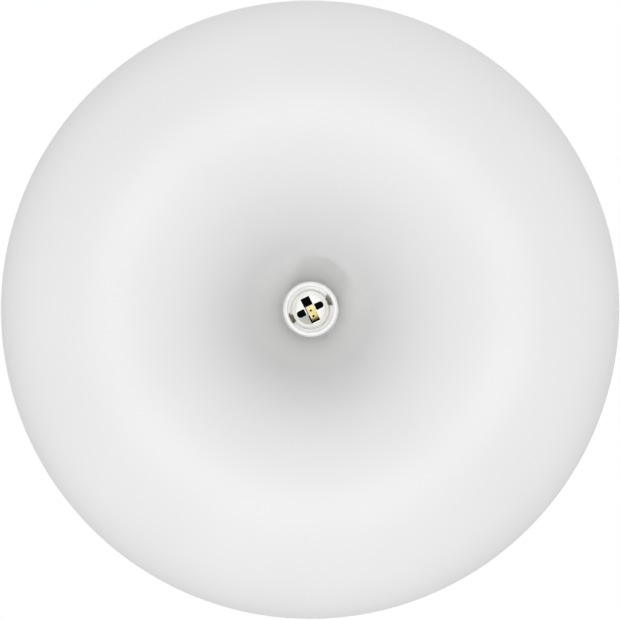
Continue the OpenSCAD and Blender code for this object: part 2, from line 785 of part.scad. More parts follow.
// Spring strip that the lamp's middle contact presses back. It slopes up over the island.
module centre_contact() {
    length = (centre_root + centre_reach) / cos(centre_slope);
    left = -centre_w / 2;
    right = centre_w / 2;
    color("gold")
    rotate(holder_clock)
    translate([0, centre_root, strip_root_z])
    difference() {
        union() {
            translate([left + strip_notch_w, -strip_t, 0])
                cube([centre_w - strip_notch_w, strip_t, strip_leg]);
            rotate([centre_slope, 0, 0])
                linear_extrude(strip_t)
                    polygon([[right, 0], [left + strip_notch_w, 0], [left + strip_notch_w, -strip_notch_l],
                        [left, -strip_notch_l], [left, -length], [right, -length]]);
        }
        for (d = strip_holes)
            rotate([centre_slope, 0, 0])
                translate([0, -d / cos(centre_slope), -cut])
                    cylinder(r = strip_hole_r, h = strip_t + 2 * cut, $fn = fine);
    }
}

// Spring tongue with a bulge towards the axis, round like the lamp cap and drawn at +x.
module side_contact() {
    back = neck_r + tongue_gap;
    bulge_z = island_z - bulge_drop;
    inner = [[back, side_root_z], [back, ledge_z], [side_bulge, bulge_z], [tip_r, bulge_z - tip_drop]];
    sweep = 2 * asin(side_w / 2 / back);
    color("silver")
    rotate(-sweep / 2 + asin(side_shift / back))
    rotate_extrude(angle = sweep)
        polygon(concat(inner, reversed([for (p = inner) p + [strip_t, 0]])));
}
module side_contact_right() {
    rotate(holder_clock)
        side_contact();
}
module side_contact_left() {
    rotate(holder_clock)
        mirror([1, 0, 0])
            side_contact();
}

// Two brass clamps behind the block, one for each lead.
module holder_terminals() {
    color("gold")
    rotate(holder_clock)
    for (side = [0, 180])
        rotate(side)
            difference() {
                translate([terminal_r, -terminal_w / 2, block_rear_z])
                    cube([terminal_l, terminal_w, terminal_h]);
                translate([terminal_r - cut, 0, lead_level_z])
                    rotate([0, 90, 0])
                        cylinder(r = lead_hole_r, h = lead_hole_l + cut, $fn = fine);
                translate([terminal_r + terminal_l / 2, terminal_w / 2 + cut, pinch_z])
                    rotate([90, 0, 0])
                        cylinder(r = pinch_screw_r, h = pinch_screw_l + 2 * fit + cut, $fn = fine);
            }
}

// Small slotted screws of those clamps.
module holder_terminal_screws() {
    color("silver")
    rotate(holder_clock)
    for (side = [0, 180])
        rotate(side)
            translate([terminal_r + terminal_l / 2, terminal_w / 2, pinch_z])
                rotate([-90, 0, 0])
                    difference() {
                        union() {
                            translate([0, 0, -pinch_screw_l])
                                cylinder(r = pinch_screw_r - fit, h = pinch_screw_l, $fn = fine);
                            cylinder(r = pinch_head_r, h = pinch_head_h, $fn = fine);
                        }
                        screw_slot(pinch_head_r, pinch_head_h);
                    }
}

// TERMINAL BLOCK

// Three mouldings side by side, each with a bore for its brass barrel and two screw towers.
module terminal_block() {
    color("whitesmoke")
    difference() {
        union() {
            for (x = pole_x) {
                translate([x - pole_w / 2, block_y, cup_floor_z])
                    cube([pole_w, block_l, block_h]);
                for (y = clamp_y)
                    translate([x, y, cup_floor_z])
                        cylinder(r = tower_r, h = block_h + tower_h, $fn = 48);
            }
            translate([-pole_pitch, fixing_y - web_w, cup_floor_z])
                cube([2 * pole_pitch, 2 * web_w, web_h]);
        }
        for (x = pole_x) {
            translate([x, block_y - cut, barrel_z])
                rotate([-90, 0, 0])
                    cylinder(r = barrel_r + fit, h = block_l + 2 * cut, $fn = 48);
            for (y = clamp_y)
                translate([x, y, barrel_z])
                    cylinder(r = tower_bore_r, h = block_h + tower_h, $fn = 48);
        }
        for (x = [-1, 1])
            translate([x * pole_pitch / 2, fixing_y, cup_floor_z]) {
                translate([0, 0, -cut])
                    cylinder(r = fixing_hole_r, h = web_h + 2 * cut, $fn = fine);
                translate([0, 0, web_h])
                    cylinder(r = fixing_head_r + 3 * fit, h = block_h, $fn = fine);
            }
    }
}

// Brass barrels inside the block, bored for the wires and tapped for the clamp screws.
module terminal_barrels() {
    color("gold")
    for (x = pole_x)
        difference() {
            translate([x, block_y + barrel_inset, barrel_z])
                rotate([-90, 0, 0])
                    cylinder(r = barrel_r, h = block_l - 2 * barrel_inset, $fn = 48);
            translate([x, block_y, barrel_z])
                rotate([-90, 0, 0])
                    cylinder(r = wire_hole_r, h = block_l, $fn = fine);
            for (y = clamp_y)
                translate([x, y, barrel_z])
                    cylinder(r = clamp_screw_r, h = barrel_r + cut, $fn = fine);
        }
}

// Slotted clamp screws, two for each pole.
module terminal_screws() {
    bottom = barrel_z + wire_hole_r + clamp_gap;
    color("silver")
    for (x = pole_x)
        for (y = clamp_y)
            translate([x, y, bottom])
                difference() {
                    cylinder(r = clamp_screw_r - fit, h = clamp_screw_l, $fn = fine);
                    screw_slot(clamp_screw_r, clamp_screw_l);
                }
}

// Screws between the poles that hold the block to the cup's floor.
module block_fixing_screws() {
    color("silver")
    for (x = [-1, 1])
        translate([x * pole_pitch / 2, fixing_y, 0])
            difference() {
                union() {
                    translate([0, 0, hub_back_z + fit])
                        cylinder(r = fixing_hole_r - fit, h = cup_floor_z + web_h - hub_back_z, $fn = fine);
                    translate([0, 0, cup_floor_z + web_h])
                        cylinder(r = fixing_head_r, h = fixing_head_h, $fn = fine);
                }
                screw_slot(fixing_head_r, cup_floor_z + web_h + fixing_head_h);
            }
}

// LEADS

// Route of a supply lead: from a lampholder clamp through the nipple into the terminal block.
function lamp_lead_route(side, pole) =
    let (u = [cos(holder_clock), sin(holder_clock), 0] * side,
        z0 = lead_level_z, in_bore = 1.35)
    [u * (terminal_r + 2.6) + [0, 0, z0], u * (terminal_r - 1) + [0, 0, z0], u * 4.4 + [0, 0, z0 + 0.1],
        u * 1.9 + [0, 0, z0 + 1.8], u * in_bore + [0, 0, z0 + 4.5], u * in_bore + [0, 0, nipple_top_z - 2],
        u * in_bore + [0, 0.3, nipple_top_z + 2.2], [pole * 0.35, 4, nipple_top_z + 4.6],
        [pole * 0.75, 8, nipple_top_z + 2.8], [pole, 10.6, barrel_z + 0.6], [pole, block_y + 0.6, barrel_z],
        [pole, block_y + 3.2, barrel_z]];
earth_route = [tag_dir * (crimp_start + 1.3) + [0, 0, cup_floor_z + crimp_h],
    tag_dir * crimp_end + [0, 0, cup_floor_z + crimp_h], [16.5, -10.5, cup_floor_z + 3],
    [20, -7, cup_floor_z + 6], [21, 0, cup_floor_z + 8], [18, 6, cup_floor_z + 7],
    [13, 9, barrel_z + 0.8], [pole_pitch, block_y + 0.4, barrel_z], [pole_pitch, block_y + 3.2, barrel_z]];

module line_lead() {
    color("saddlebrown")
        tube_along(smooth_route(lamp_lead_route(-1, -pole_pitch), 4), lead_d / 2);
}
module neutral_lead() {
    color("royalblue")
        tube_along(smooth_route(lamp_lead_route(1, 0), 4), lead_d / 2);
}
module earth_lead() {
    color("yellowgreen")
        tube_along(smooth_route(earth_route, 4), lead_d / 2);
}

shade();
mounting_cup();
hub_rivets();
nipple();
nipple_nut();
earth_washer();
nipple_bush();
ceiling_plate();
locking_studs();
cable_grommet();
earth_screw();
earth_cup_washer();
lampholder_skirt();
lampholder_rear_cap();
contact_block();
insulating_disc();
rear_cap_lock_screw();
centre_contact();
side_contact_right();
side_contact_left();
holder_terminals();
holder_terminal_screws();
terminal_block();
terminal_barrels();
terminal_screws();
block_fixing_screws();
line_lead();
neutral_lead();
earth_lead();
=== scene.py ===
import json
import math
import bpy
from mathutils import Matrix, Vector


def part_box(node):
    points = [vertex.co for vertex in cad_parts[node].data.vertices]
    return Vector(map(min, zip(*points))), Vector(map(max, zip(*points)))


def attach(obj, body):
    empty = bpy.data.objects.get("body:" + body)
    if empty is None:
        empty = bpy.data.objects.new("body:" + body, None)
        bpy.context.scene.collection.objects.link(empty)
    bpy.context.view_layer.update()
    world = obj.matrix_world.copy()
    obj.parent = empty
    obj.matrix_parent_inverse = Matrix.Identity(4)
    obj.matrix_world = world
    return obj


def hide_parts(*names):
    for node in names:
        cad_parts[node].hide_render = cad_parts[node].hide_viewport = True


bl_info = {
    "name": "Ring ceiling light",
    "version": (1, 0, 0),
    "blender": (4, 5, 0),
    "location": "View3D > Sidebar > Ring Light",
    "description": "Builds a ring-shaped ceiling light with a screw lampholder round a packed frame",
    "category": "Add Mesh",
}

import bmesh
import bpy
import numpy as np
from bpy.props import FloatProperty, FloatVectorProperty, PointerProperty, StringProperty
from mathutils import Matrix, Vector

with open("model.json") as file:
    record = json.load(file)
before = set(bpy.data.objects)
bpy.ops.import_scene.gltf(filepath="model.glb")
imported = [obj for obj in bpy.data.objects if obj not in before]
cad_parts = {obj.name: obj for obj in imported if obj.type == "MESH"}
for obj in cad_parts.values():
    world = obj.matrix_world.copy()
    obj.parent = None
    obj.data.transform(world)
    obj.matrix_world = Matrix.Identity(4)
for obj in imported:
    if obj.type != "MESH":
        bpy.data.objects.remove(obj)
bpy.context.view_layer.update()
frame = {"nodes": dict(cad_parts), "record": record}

MM = 0.001

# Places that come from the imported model, in metres.
SHADE_LOW, SHADE_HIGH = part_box("shade")
HUB_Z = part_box("lampholder_rear_cap")[1][2]
REAR_CAP_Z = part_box("lampholder_rear_cap")[0][2]
MOUTH_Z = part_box("lampholder_skirt")[0][2]
SPIGOT_TOP_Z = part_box("lampholder_skirt")[1][2]
ISLAND_Z, BLOCK_REAR_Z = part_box("contact_block")[0][2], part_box("contact_block")[1][2]
CUP_FLOOR_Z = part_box("earth_washer")[0][2]
NIPPLE_R, NIPPLE_TOP_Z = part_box("nipple")[1][0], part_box("nipple")[1][2]

# The lampholder's own directions in the plane of the ceiling: U points along its two side
# contacts, and V along its middle contact, from the free end to the root.
HOLDER_TURN = math.radians(-26)
U = np.array([math.cos(HOLDER_TURN), math.sin(HOLDER_TURN), 0.0])
V = np.array([-math.sin(HOLDER_TURN), math.cos(HOLDER_TURN), 0.0])

# Where the middle contact's holes and the bores behind them lie along V.
STRIP_HOLES = (4.8 * MM, 0.8 * MM)
LEAD_RADIUS, POLE_PITCH = 1.1 * MM, 11 * MM


def length_setting(name, description, default):
    """A setting in metres that shows tenths of a millimetre."""
    return FloatProperty(name=name, description=description, default=default,
                         unit="LENGTH", precision=4)


class RingLightShade(bpy.types.PropertyGroup):
    """Sizes of the spun shade"""

    radius: length_setting("Radius", "Radius over the widest part", SHADE_HIGH[0])
    outer_roll: length_setting("Outer roll", "Radius from the crest outwards", 67 * MM)
    inner_roll: length_setting("Inner roll", "Radius from the crest into the dish", 95 * MM)
    wall_curl: FloatProperty(name="Wall curl", description="How early the dish's wall leaves its roll",
                             default=math.radians(7), subtype="ANGLE")
    hub_rim: length_setting("Hub rim", "Flat of the hub round the lampholder", 0.1 * MM)
    hub_fillet: length_setting("Hub fillet", "Fillet between hub and dish", 2 * MM)
    sheet: length_setting("Sheet", "Thickness of the sheet", 1.2 * MM)
    bead: length_setting("Bead", "Radius of the rolled bead at the back edge", 2.2 * MM)


class RingLightHolder(bpy.types.PropertyGroup):
    """Sizes of the lampholder"""

    radius: length_setting("Radius", "Outside radius", 17.7 * MM)
    bore: length_setting("Bore", "Radius at the bottom of the thread's grooves", 13.35 * MM)
    mouth: length_setting("Mouth", "Radius of the mouth inside its rounded lip", 14.2 * MM)
    thread_depth: length_setting("Thread depth", "How far the thread stands into the bore", 1.05 * MM)
    pitch: length_setting("Pitch", "Pitch of the lamp thread", 3.629 * MM)
    island: length_setting("Island", "Radius of the contact island", 9.95 * MM)
    window: length_setting("Window", "Width of a side contact's window", 7 * MM)
    neck: length_setting("Neck", "Radius of the contact block's neck", 13 * MM)


class RingLightStage(bpy.types.PropertyGroup):
    """Camera and light"""

    distance: FloatProperty(name="Distance", description="From the camera up to the ceiling",
                            default=2.6, unit="LENGTH")
    view_tilt: FloatVectorProperty(name="View tilt", description="Lean of the line of sight about X and Y",
                                   size=2, default=(math.radians(0.6), math.radians(0.63)))
    sky: FloatVectorProperty(name="Light from the room", size=8,
                             default=(0.0, 0.0, 0.0, 0.0, 0.5, 1.35, 0.65, 0.2),
                             description="World strength, from straight below to straight above")
    sky_lean: FloatVectorProperty(name="Lean of the light", default=(0.05, -0.12, 0.0),
                                  description="How much stronger the light is towards one side")
    front_power: FloatProperty(name="Front lamp", description="Power of the lamp behind the camera",
                               default=34.0, unit="POWER")
    front_size: FloatProperty(name="Front lamp's size", description="Diameter of the lamp behind the camera",
                              default=0.3, unit="LENGTH")
    side_power: FloatProperty(name="Side lamp", description="Power of the soft lamp to one side",
                              default=8.0, unit="POWER")
    side_size: FloatProperty(name="Side lamp's size", description="Diameter of the side lamp",
                             default=0.6, unit="LENGTH")
    side_from: FloatVectorProperty(name="Side lamp's place", description="Where the side lamp stands",
                                   default=(-0.5, 1.4, -2.1), unit="LENGTH")


class RingLightColours(bpy.types.PropertyGroup):
    """Colours, written as sRGB hex"""

    coat: StringProperty(name="Shade", description="Powder coat of the shade", default="#F4F4F4")
    holder: StringProperty(name="Lampholder", description="Moulding of the lampholder", default="#FBFBF9")
    brass: StringProperty(name="Brass", description="Contacts and terminals", default="#FBE7A9")


class RingLightSettings(bpy.types.PropertyGroup):
    """All settings of the light"""

    shade: PointerProperty(type=RingLightShade)
    holder: PointerProperty(type=RingLightHolder)
    stage: PointerProperty(type=RingLightStage)
    colours: PointerProperty(type=RingLightColours)


# Node trees


def srgb(text):
    """An sRGB hex colour as linear red, green, blue and alpha.

    Each channel is divided by 12.92 below 0.04045, and is else raised by the sRGB curve's
    power of 2.4 after its offset.
    """
    channels = [int(text.lstrip("#")[i:i + 2], 16) / 255 for i in (0, 2, 4)]
    linear = [c / 12.92 if c <= 0.04045 else ((c + 0.055) / 1.055) ** 2.4 for c in channels]
    return (*linear, 1.0)


def add_node(tree, kind, settings=None, links=None):
    """A node with its settings, and with links or values on its inputs by name or number."""
    node = tree.nodes.new(kind)
    for name, value in (settings or {}).items():
        setattr(node, name, value)
    fill_inputs(tree, node, links or {})
    return node


def fill_inputs(tree, node, links):
    """Links or values on a node's inputs, by name or number."""
    for name, value in links.items():
        if isinstance(value, bpy.types.NodeSocket):
            tree.links.new(value, node.inputs[name])
        else:
            node.inputs[name].default_value = value


def new_material(name):
    """An empty material, its tree, its shader and the object's own coordinates in metres."""
    material = bpy.data.materials.new(name)
    material.use_nodes = True
    tree = material.node_tree
    tree.nodes.clear()
    shader = add_node(tree, "ShaderNodeBsdfPrincipled")
    add_node(tree, "ShaderNodeOutputMaterial", links={"Surface": shader.outputs["BSDF"]})
    place = add_node(tree, "ShaderNodeTexCoord").outputs["Object"]
    return material, tree, shader, place


def grain(tree, place, size, detail=2.0, stretch=None):
    """Noise whose lumps are about size metres across, on the object's coordinates."""
    if stretch:
        mapping = add_node(tree, "ShaderNodeMapping", links={"Vector": place, "Scale": stretch})
        place = mapping.outputs["Vector"]
    noise = add_node(tree, "ShaderNodeTexNoise", links={
        "Vector": place, "Scale": 1 / size, "Detail": detail})
    return noise.outputs["Fac"]


def clouds(tree, place, size, detail=2.0):
    """The same noise, spread over 0 to 1."""
    return between(tree, grain(tree, place, size, detail), 0.0, 1.0)


def between(tree, factor, low, high):
    """A value that runs from low to high as the factor runs over the middle of the noise."""
    spread = add_node(tree, "ShaderNodeMapRange", links={
        "Value": factor, "From Min": 0.3, "From Max": 0.7, "To Min": low, "To Max": high})
    return spread.outputs["Result"]


def blended(tree, factor, first, second):
    """A colour between two, each an sRGB hex colour or a socket."""
    first, second = (srgb(end) if isinstance(end, str) else end for end in (first, second))
    mix = add_node(tree, "ShaderNodeMix", {"data_type": "RGBA"}, {0: factor, 6: first, 7: second})
    return mix.outputs[2]


def worked_out(tree, operation, *values):
    """The result of a Math node on numbers or sockets."""
    return add_node(tree, "ShaderNodeMath", {"operation": operation}, dict(enumerate(values))).outputs[0]


def distance_along(tree, place, direction):
    """How far a place lies along a direction: their dot product."""
    dot = add_node(tree, "ShaderNodeVectorMath", {"operation": "DOT_PRODUCT"}, {
        0: place, 1: tuple(direction)})
    return dot.outputs["Value"]


def grey_ramp(tree, factor, stops):
    """Greys that follow the factor through rows of position and level."""
    ramp = add_node(tree, "ShaderNodeValToRGB", links={"Fac": factor})
    elements = ramp.color_ramp.elements
    while len(elements) < len(stops):
        elements.new(0.5)
    for element, (position, level) in zip(elements, stops):
        element.position, element.color = position, (level, level, level, 1)
    return ramp.outputs["Color"]


def bumped(tree, shader, height, depth, under=None):
    """Bump on the shader from a height of 0 to 1 that stands depth metres high."""
    links = {"Height": height, "Distance": depth, "Strength": 1.0}
    if under is not None:
        links["Normal"] = under
    bump = add_node(tree, "ShaderNodeBump", links=links)
    tree.links.new(bump.outputs["Normal"], shader.inputs["Normal"])
    return bump.outputs["Normal"]


def set_inputs(tree, shader, **values):
    """Links or values on the shader's inputs, with underscores for spaces in their names."""
    fill_inputs(tree, shader, {name.replace("_", " "): value for name, value in values.items()})


def powder_coated_steel(colour):
    """Polyester powder, sprayed and stoved: matte, with an orange peel of lumps near 2 mm.

    The coat is greyed towards #CFCFCF down in the dish, most of all round the hub: painted
    shade for the dark ring round the lampholder. It fades over millimetres from the light's axis.
    """
    material, tree, shader, place = new_material("powder_coated_steel")
    peel = grain(tree, place, 2.0 * MM, 1.0)
    pores = grain(tree, place, 0.5 * MM)
    flat = add_node(tree, "ShaderNodeVectorMath", {"operation": "MULTIPLY"}, {
        0: place, 1: (1.0, 1.0, 0.0)}).outputs["Vector"]
    radius = add_node(tree, "ShaderNodeVectorMath", {"operation": "LENGTH"}, {0: flat}).outputs["Value"]
    # Painted shade: grey laid on the coat round the hub and down the dish, where the lampholder and the
    # dish's walls shade it.
    hub_painted_shade_stops = ((19, 0.85), (23, 0.55), (28, 0.35), (36, 0.20), (75, 0.20), (120, 0.0))
    reach = hub_painted_shade_stops[-1][0]
    hub_painted_shade = grey_ramp(tree, worked_out(tree, "DIVIDE", radius, reach * MM),
                     [(at / reach, level) for at, level in hub_painted_shade_stops])
    full = blended(tree, clouds(tree, place, 70 * MM, 1.0), colour, "#F2F2F2")
    set_inputs(tree, shader, Base_Color=blended(tree, hub_painted_shade, full, "#CFCFCF"),
               Roughness=between(tree, pores, 0.52, 0.60), IOR=1.5)
    fine = bumped(tree, shader, pores, 0.004 * MM)
    bumped(tree, shader, peel, 0.02 * MM, under=fine)
    return material


def moulded_pbt(colour):
    """Glass-filled PBT, injection moulded: satin, with faint flow clouding and a spark-eroded skin."""
    material, tree, shader, place = new_material("moulded_pbt")
    skin = grain(tree, place, 0.25 * MM)
    set_inputs(tree, shader, Base_Color=blended(tree, clouds(tree, place, 12 * MM), colour, "#F9F8F5"),
               Roughness=between(tree, skin, 0.30, 0.42), IOR=1.55, Subsurface_Weight=0.06,
               Subsurface_Scale=1.0 * MM, Subsurface_Radius=(1.0, 0.9, 0.8))
    bumped(tree, shader, skin, 0.006 * MM)
    return material


def moulded_nylon():
    """Natural polyamide, injection moulded: milky, softly glossy and a little translucent."""
    material, tree, shader, place = new_material("moulded_nylon")
    set_inputs(tree, shader, Base_Color=blended(tree, clouds(tree, place, 6 * MM), "#EFEDE2", "#E4E1D3"),
               Roughness=0.36, IOR=1.53, Subsurface_Weight=0.2,
               Subsurface_Scale=1.5 * MM, Subsurface_Radius=(1.0, 0.95, 0.85))
    bumped(tree, shader, grain(tree, place, 0.4 * MM), 0.01 * MM)
    return material


def ivory_nylon():
    """Ivory polyamide bush, injection moulded: dull, with a fine eroded skin."""
    material, tree, shader, place = new_material("ivory_nylon")
    skin = grain(tree, place, 0.3 * MM)
    set_inputs(tree, shader, Base_Color=blended(tree, clouds(tree, place, 0.3 * MM), "#E6E0CB", "#DAD3BC"),
               Roughness=between(tree, skin, 0.42, 0.52), IOR=1.53)
    bumped(tree, shader, skin, 0.01 * MM)
    return material


def black_fibre():
    """Vulcanised fibre sheet, punched: black and matte, with a felted surface."""
    material, tree, shader, place = new_material("black_fibre")
    felt = grain(tree, place, 0.35 * MM, 4.0)
    set_inputs(tree, shader, Base_Color=blended(tree, felt, "#050505", "#0B0B0B"),
               Roughness=0.9, IOR=1.2)
    bumped(tree, shader, felt, 0.02 * MM)
    return material


def rolled_brass(colour):
    """Hard rolled brass strip: yellow, with fine rolling lines and a light brown tarnish."""
    material, tree, shader, place = new_material("rolled_brass")
    lines = grain(tree, place, 0.30 * MM, 3.0, stretch=(0.2, 1.0, 0.2))
    tarnish = clouds(tree, place, 2.2 * MM, 3.0)
    set_inputs(tree, shader, Base_Color=blended(tree, tarnish, colour, "#EBCB80"), Metallic=1.0,
               Roughness=between(tree, lines, 0.42, 0.52))
    bumped(tree, shader, lines, 0.004 * MM)
    return material


def with_painted_shade(tree, place, base, painted_shade_colour, painted_shade_marks, size):
    """The base colour with painted shade on it, which noise of the given size breaks up.

    Each mark is a direction and two distances: the painted shade starts at the first and grows
    evenly to the second. Where marks cross, the stronger one counts.
    """
    # depth is how strong the painted shade is at each point.
    depth = 0.0
    for direction, start, end in painted_shade_marks:
        painted_shade_mark = add_node(tree, "ShaderNodeMapRange", links={
            "Value": distance_along(tree, place, direction),
            "From Min": start, "From Max": end, "To Max": 0.95})
        depth = worked_out(tree, "MAXIMUM", depth, painted_shade_mark.outputs["Result"])
    patches = between(tree, grain(tree, place, size, 3.0), 0.75, 1.0)
    return blended(tree, worked_out(tree, "MULTIPLY", depth, patches), base, painted_shade_colour)


def brass_with_painted_shade():
    """Rolled brass strip, pale and dull, with painted shade in brown at its root and along its left edge."""
    material, tree, shader, place = new_material("brass_with_painted_shade")
    lines = grain(tree, place, 0.30 * MM, 3.0, stretch=(0.2, 1.0, 0.2))
    bright = blended(tree, clouds(tree, place, 1.6 * MM, 3.0), "#FFFAC9", "#FBEBAA")
    # Painted shade: brown towards the root, where the strip bends down into its recess, and along its left
    # edge beside the notch.
    painted_shade_marks = ((V, 5.0 * MM, 7.0 * MM), (-U, 1.8 * MM, 2.8 * MM))
    set_inputs(tree, shader, Base_Color=with_painted_shade(tree, place, bright, "#4E3623", painted_shade_marks, 1.1 * MM),
               Metallic=1.0, Roughness=between(tree, lines, 0.60, 0.70))
    bumped(tree, shader, lines, 0.004 * MM)
    return material


def nickel_plated_bronze():
    """Spring bronze strip with a dull nickel plate: warm grey, with drawing lines and painted shade.

    The painted shade is a shadow that grows across each tongue, and it is stronger on the left one.
    """
    material, tree, shader, place = new_material("nickel_plated_bronze")
    lines = grain(tree, place, 0.35 * MM, 3.0, stretch=(1.0, 1.0, 0.15))
    plate = blended(tree, lines, "#E6E4DC", "#D2CFC5")
    # Painted shade: a shadow across each tongue towards one wall of its window, and more of it on the left
    # tongue.
    painted_shade_marks = ((V, -1.5 * MM, 3.5 * MM), (-U, 0.0, 30 * MM))
    set_inputs(tree, shader, Base_Color=with_painted_shade(tree, place, plate, "#5A584F", painted_shade_marks, 1.5 * MM),
               Metallic=1.0, Roughness=between(tree, lines, 0.40, 0.52))
    bumped(tree, shader, lines, 0.005 * MM)
    return material


def zinc_plated_sheet():
    """Pressed steel sheet with bright zinc plate: blue-grey, clouded, with faint rolling lines."""
    material, tree, shader, place = new_material("zinc_plated_sheet")
    lines = grain(tree, place, 0.9 * MM, 3.0, stretch=(0.06, 1.0, 1.0))
    cloud = clouds(tree, place, 16 * MM, 3.0)
    set_inputs(tree, shader, Base_Color=blended(tree, cloud, "#C3C6C8", "#B1B5B9"), Metallic=1.0,
               Roughness=between(tree, grain(tree, place, 9 * MM), 0.30, 0.44))
    bumped(tree, shader, lines, 0.008 * MM)
    return material


def turned_zinc_steel():
    """Turned steel screws and studs with bright zinc plate: grey, with rings from the tool."""
    material, tree, shader, place = new_material("turned_zinc_steel")
    rings = grain(tree, place, 0.30 * MM, 2.0, stretch=(0.3, 0.3, 1.0))
    set_inputs(tree, shader, Base_Color=blended(tree, rings, "#BCBEC0", "#A5A8AB"), Metallic=1.0,
               Roughness=between(tree, rings, 0.24, 0.38))
    bumped(tree, shader, rings, 0.006 * MM)
    return material


def moulded_rubber():
    """Black rubber, compression moulded: matte, with a grey bloom."""
    material, tree, shader, place = new_material("moulded_rubber")
    bloom = clouds(tree, place, 4 * MM, 3.0)
    set_inputs(tree, shader, Base_Color=blended(tree, bloom, "#202022", "#2E2E30"),
               Roughness=between(tree, bloom, 0.62, 0.78), IOR=1.5)
    bumped(tree, shader, grain(tree, place, 0.3 * MM), 0.02 * MM)
    return material


def silicone_insulation(name, colour, darker):
    """Extruded silicone insulation: a soft sheen, with faint draw lines from the die."""
    material, tree, shader, place = new_material(name)
    lines = grain(tree, place, 0.5 * MM)
    set_inputs(tree, shader, Base_Color=blended(tree, lines, colour, darker), Roughness=0.45, IOR=1.43)
    bumped(tree, shader, lines, 0.01 * MM)
    return material


def striped_insulation():
    """Earth lead: green insulation with a yellow stripe on each side, from its attribute around."""
    material, tree, shader, place = new_material("striped_insulation")
    around = add_node(tree, "ShaderNodeAttribute", {"attribute_name": "around"}).outputs["Vector"]
    side = add_node(tree, "ShaderNodeSeparateXYZ", links={"Vector": around}).outputs["X"]
    stripe = worked_out(tree, "GREATER_THAN", worked_out(tree, "ABSOLUTE", side), 0.75)
    set_inputs(tree, shader, Base_Color=blended(tree, stripe, "#3F8F2E", "#E6D23A"),
               Roughness=0.45, IOR=1.43)
    bumped(tree, shader, grain(tree, place, 0.5 * MM), 0.01 * MM)
    return material


def finish_for(slot, colours):
    """The material of a slot of the record, made once."""
    makers = {
        "shade_powder_coat": lambda: powder_coated_steel(colours.coat),
        "zinc_steel": zinc_plated_sheet,
        "screw_steel": turned_zinc_steel,
        "holder_plastic": lambda: moulded_pbt(colours.holder),
        "contact_block_plastic": lambda: moulded_pbt(colours.holder),
        "black_insulator": black_fibre,
        "terminal_nylon": moulded_nylon,
        "brass": lambda: rolled_brass(colours.brass),
        "nickel_plate": nickel_plated_bronze,
        "grommet_rubber": moulded_rubber,
        "bush_plastic": ivory_nylon,
        "brown_insulation": lambda: silicone_insulation("brown_insulation", "#6B3F22", "#5A331B"),
        "blue_insulation": lambda: silicone_insulation("blue_insulation", "#2F6FC4", "#2559A6"),
        "earth_insulation": striped_insulation,
    }
    if slot not in finish_for.made:
        finish_for.made[slot] = makers[slot]()
    return finish_for.made[slot]


finish_for.made = {}


def slot_of(node):
    """The record's material slot of a CAD node."""
    return next(s["material_slot"] for s in frame["record"]["subparts"] if s["node"] == node)


def body_of(node):
    """The body of the record that a CAD node belongs to."""
    bodies = frame["record"]["behaviour"]["bodies"]
    return next(body for body, nodes in bodies.items() if node in nodes)


# Outlines, as arrays of (radius, height) or (x, y) points in metres


def arc(centre, radius, start, end, count):
    """Points on a circle: the centre plus the radius times cosine and sine of evenly spread degrees."""
    angles = np.radians(np.linspace(start, end, count))
    return np.column_stack([centre[0] + radius * np.cos(angles), centre[1] + radius * np.sin(angles)])


def rounded(corners, count=6):
    """A closed outline with an arc in each corner, from rows of (x, y, radius).

    The arc's centre lies on the corner's bisector at the radius over the sine of half the
    corner's angle, and its points swing evenly from one side's touching point to the other's.
    """
    corners = np.array(corners, dtype=float)
    point, radius = corners[:, :2], corners[:, 2:]
    before, after = np.roll(point, 1, axis=0) - point, np.roll(point, -1, axis=0) - point
    before /= np.linalg.norm(before, axis=1, keepdims=True)
    after /= np.linalg.norm(after, axis=1, keepdims=True)
    half = np.arccos(np.clip(np.sum(before * after, axis=1, keepdims=True), -1, 1)) / 2
    middle = before + after
    length = np.linalg.norm(middle, axis=1, keepdims=True)
    middle = np.where(length > 1e-9, middle / np.maximum(length, 1e-9), 0)
    centre = point + middle * radius / np.sin(half)
    touch = radius / np.tan(half)
    first, last = point + before * touch - centre, point + after * touch - centre
    swing = (math.pi - 2 * half)[:, :, None]
    share = np.linspace(0, 1, count)[None, :, None]
    arcs = np.sin((1 - share) * swing) * first[:, None] + np.sin(share * swing) * last[:, None]
    return (centre[:, None] + arcs / np.sin(swing)).reshape(-1, 2)


# Meshes


def put_mesh(name, points, faces):
    """A new object from an array of points and rows of corner numbers, with its faces outwards."""
    mesh = bpy.data.meshes.new(name)
    mesh.from_pydata(points.reshape(-1, 3).tolist(), [], faces)
    piece = bpy.data.objects.new(name, mesh)
    bpy.context.scene.collection.objects.link(piece)
    clean(piece)
    return piece


def clean(piece):
    """Merges doubled points, drops flat faces and turns a closed shell outwards."""
    shape = bmesh.new()
    shape.from_mesh(piece.data)
    bmesh.ops.remove_doubles(shape, verts=shape.verts, dist=1e-7)
    bmesh.ops.dissolve_degenerate(shape, edges=shape.edges, dist=1e-7)
    if shape.calc_volume(signed=True) < 0:
        bmesh.ops.reverse_faces(shape, faces=shape.faces)
    shape.to_mesh(piece.data)
    shape.free()


def grid_faces(rows, columns, wrap_rows=True):
    """Corner numbers of a grid's four-sided faces, closed round its columns.

    With wrap_rows its last row joins its first as well, as in a ring.
    """
    row = np.arange(rows if wrap_rows else rows - 1)[:, None]
    column = np.arange(columns)[None, :]
    next_row, next_column = (row + 1) % rows, (column + 1) % columns
    corners = [row * columns + column, row * columns + next_column,
               next_row * columns + next_column, next_row * columns + column]
    return np.stack(corners, axis=-1).reshape(-1, 4).tolist()


def capped_faces(rows, columns):
    """The faces of a grid closed round its columns, with a flat end on its first and last row.

    The first end runs backwards, so that it turns outwards like the sides.
    """
    count = rows * columns
    ends = [list(range(columns))[::-1], list(range(count - columns, count))]
    return grid_faces(rows, columns, wrap_rows=False) + ends


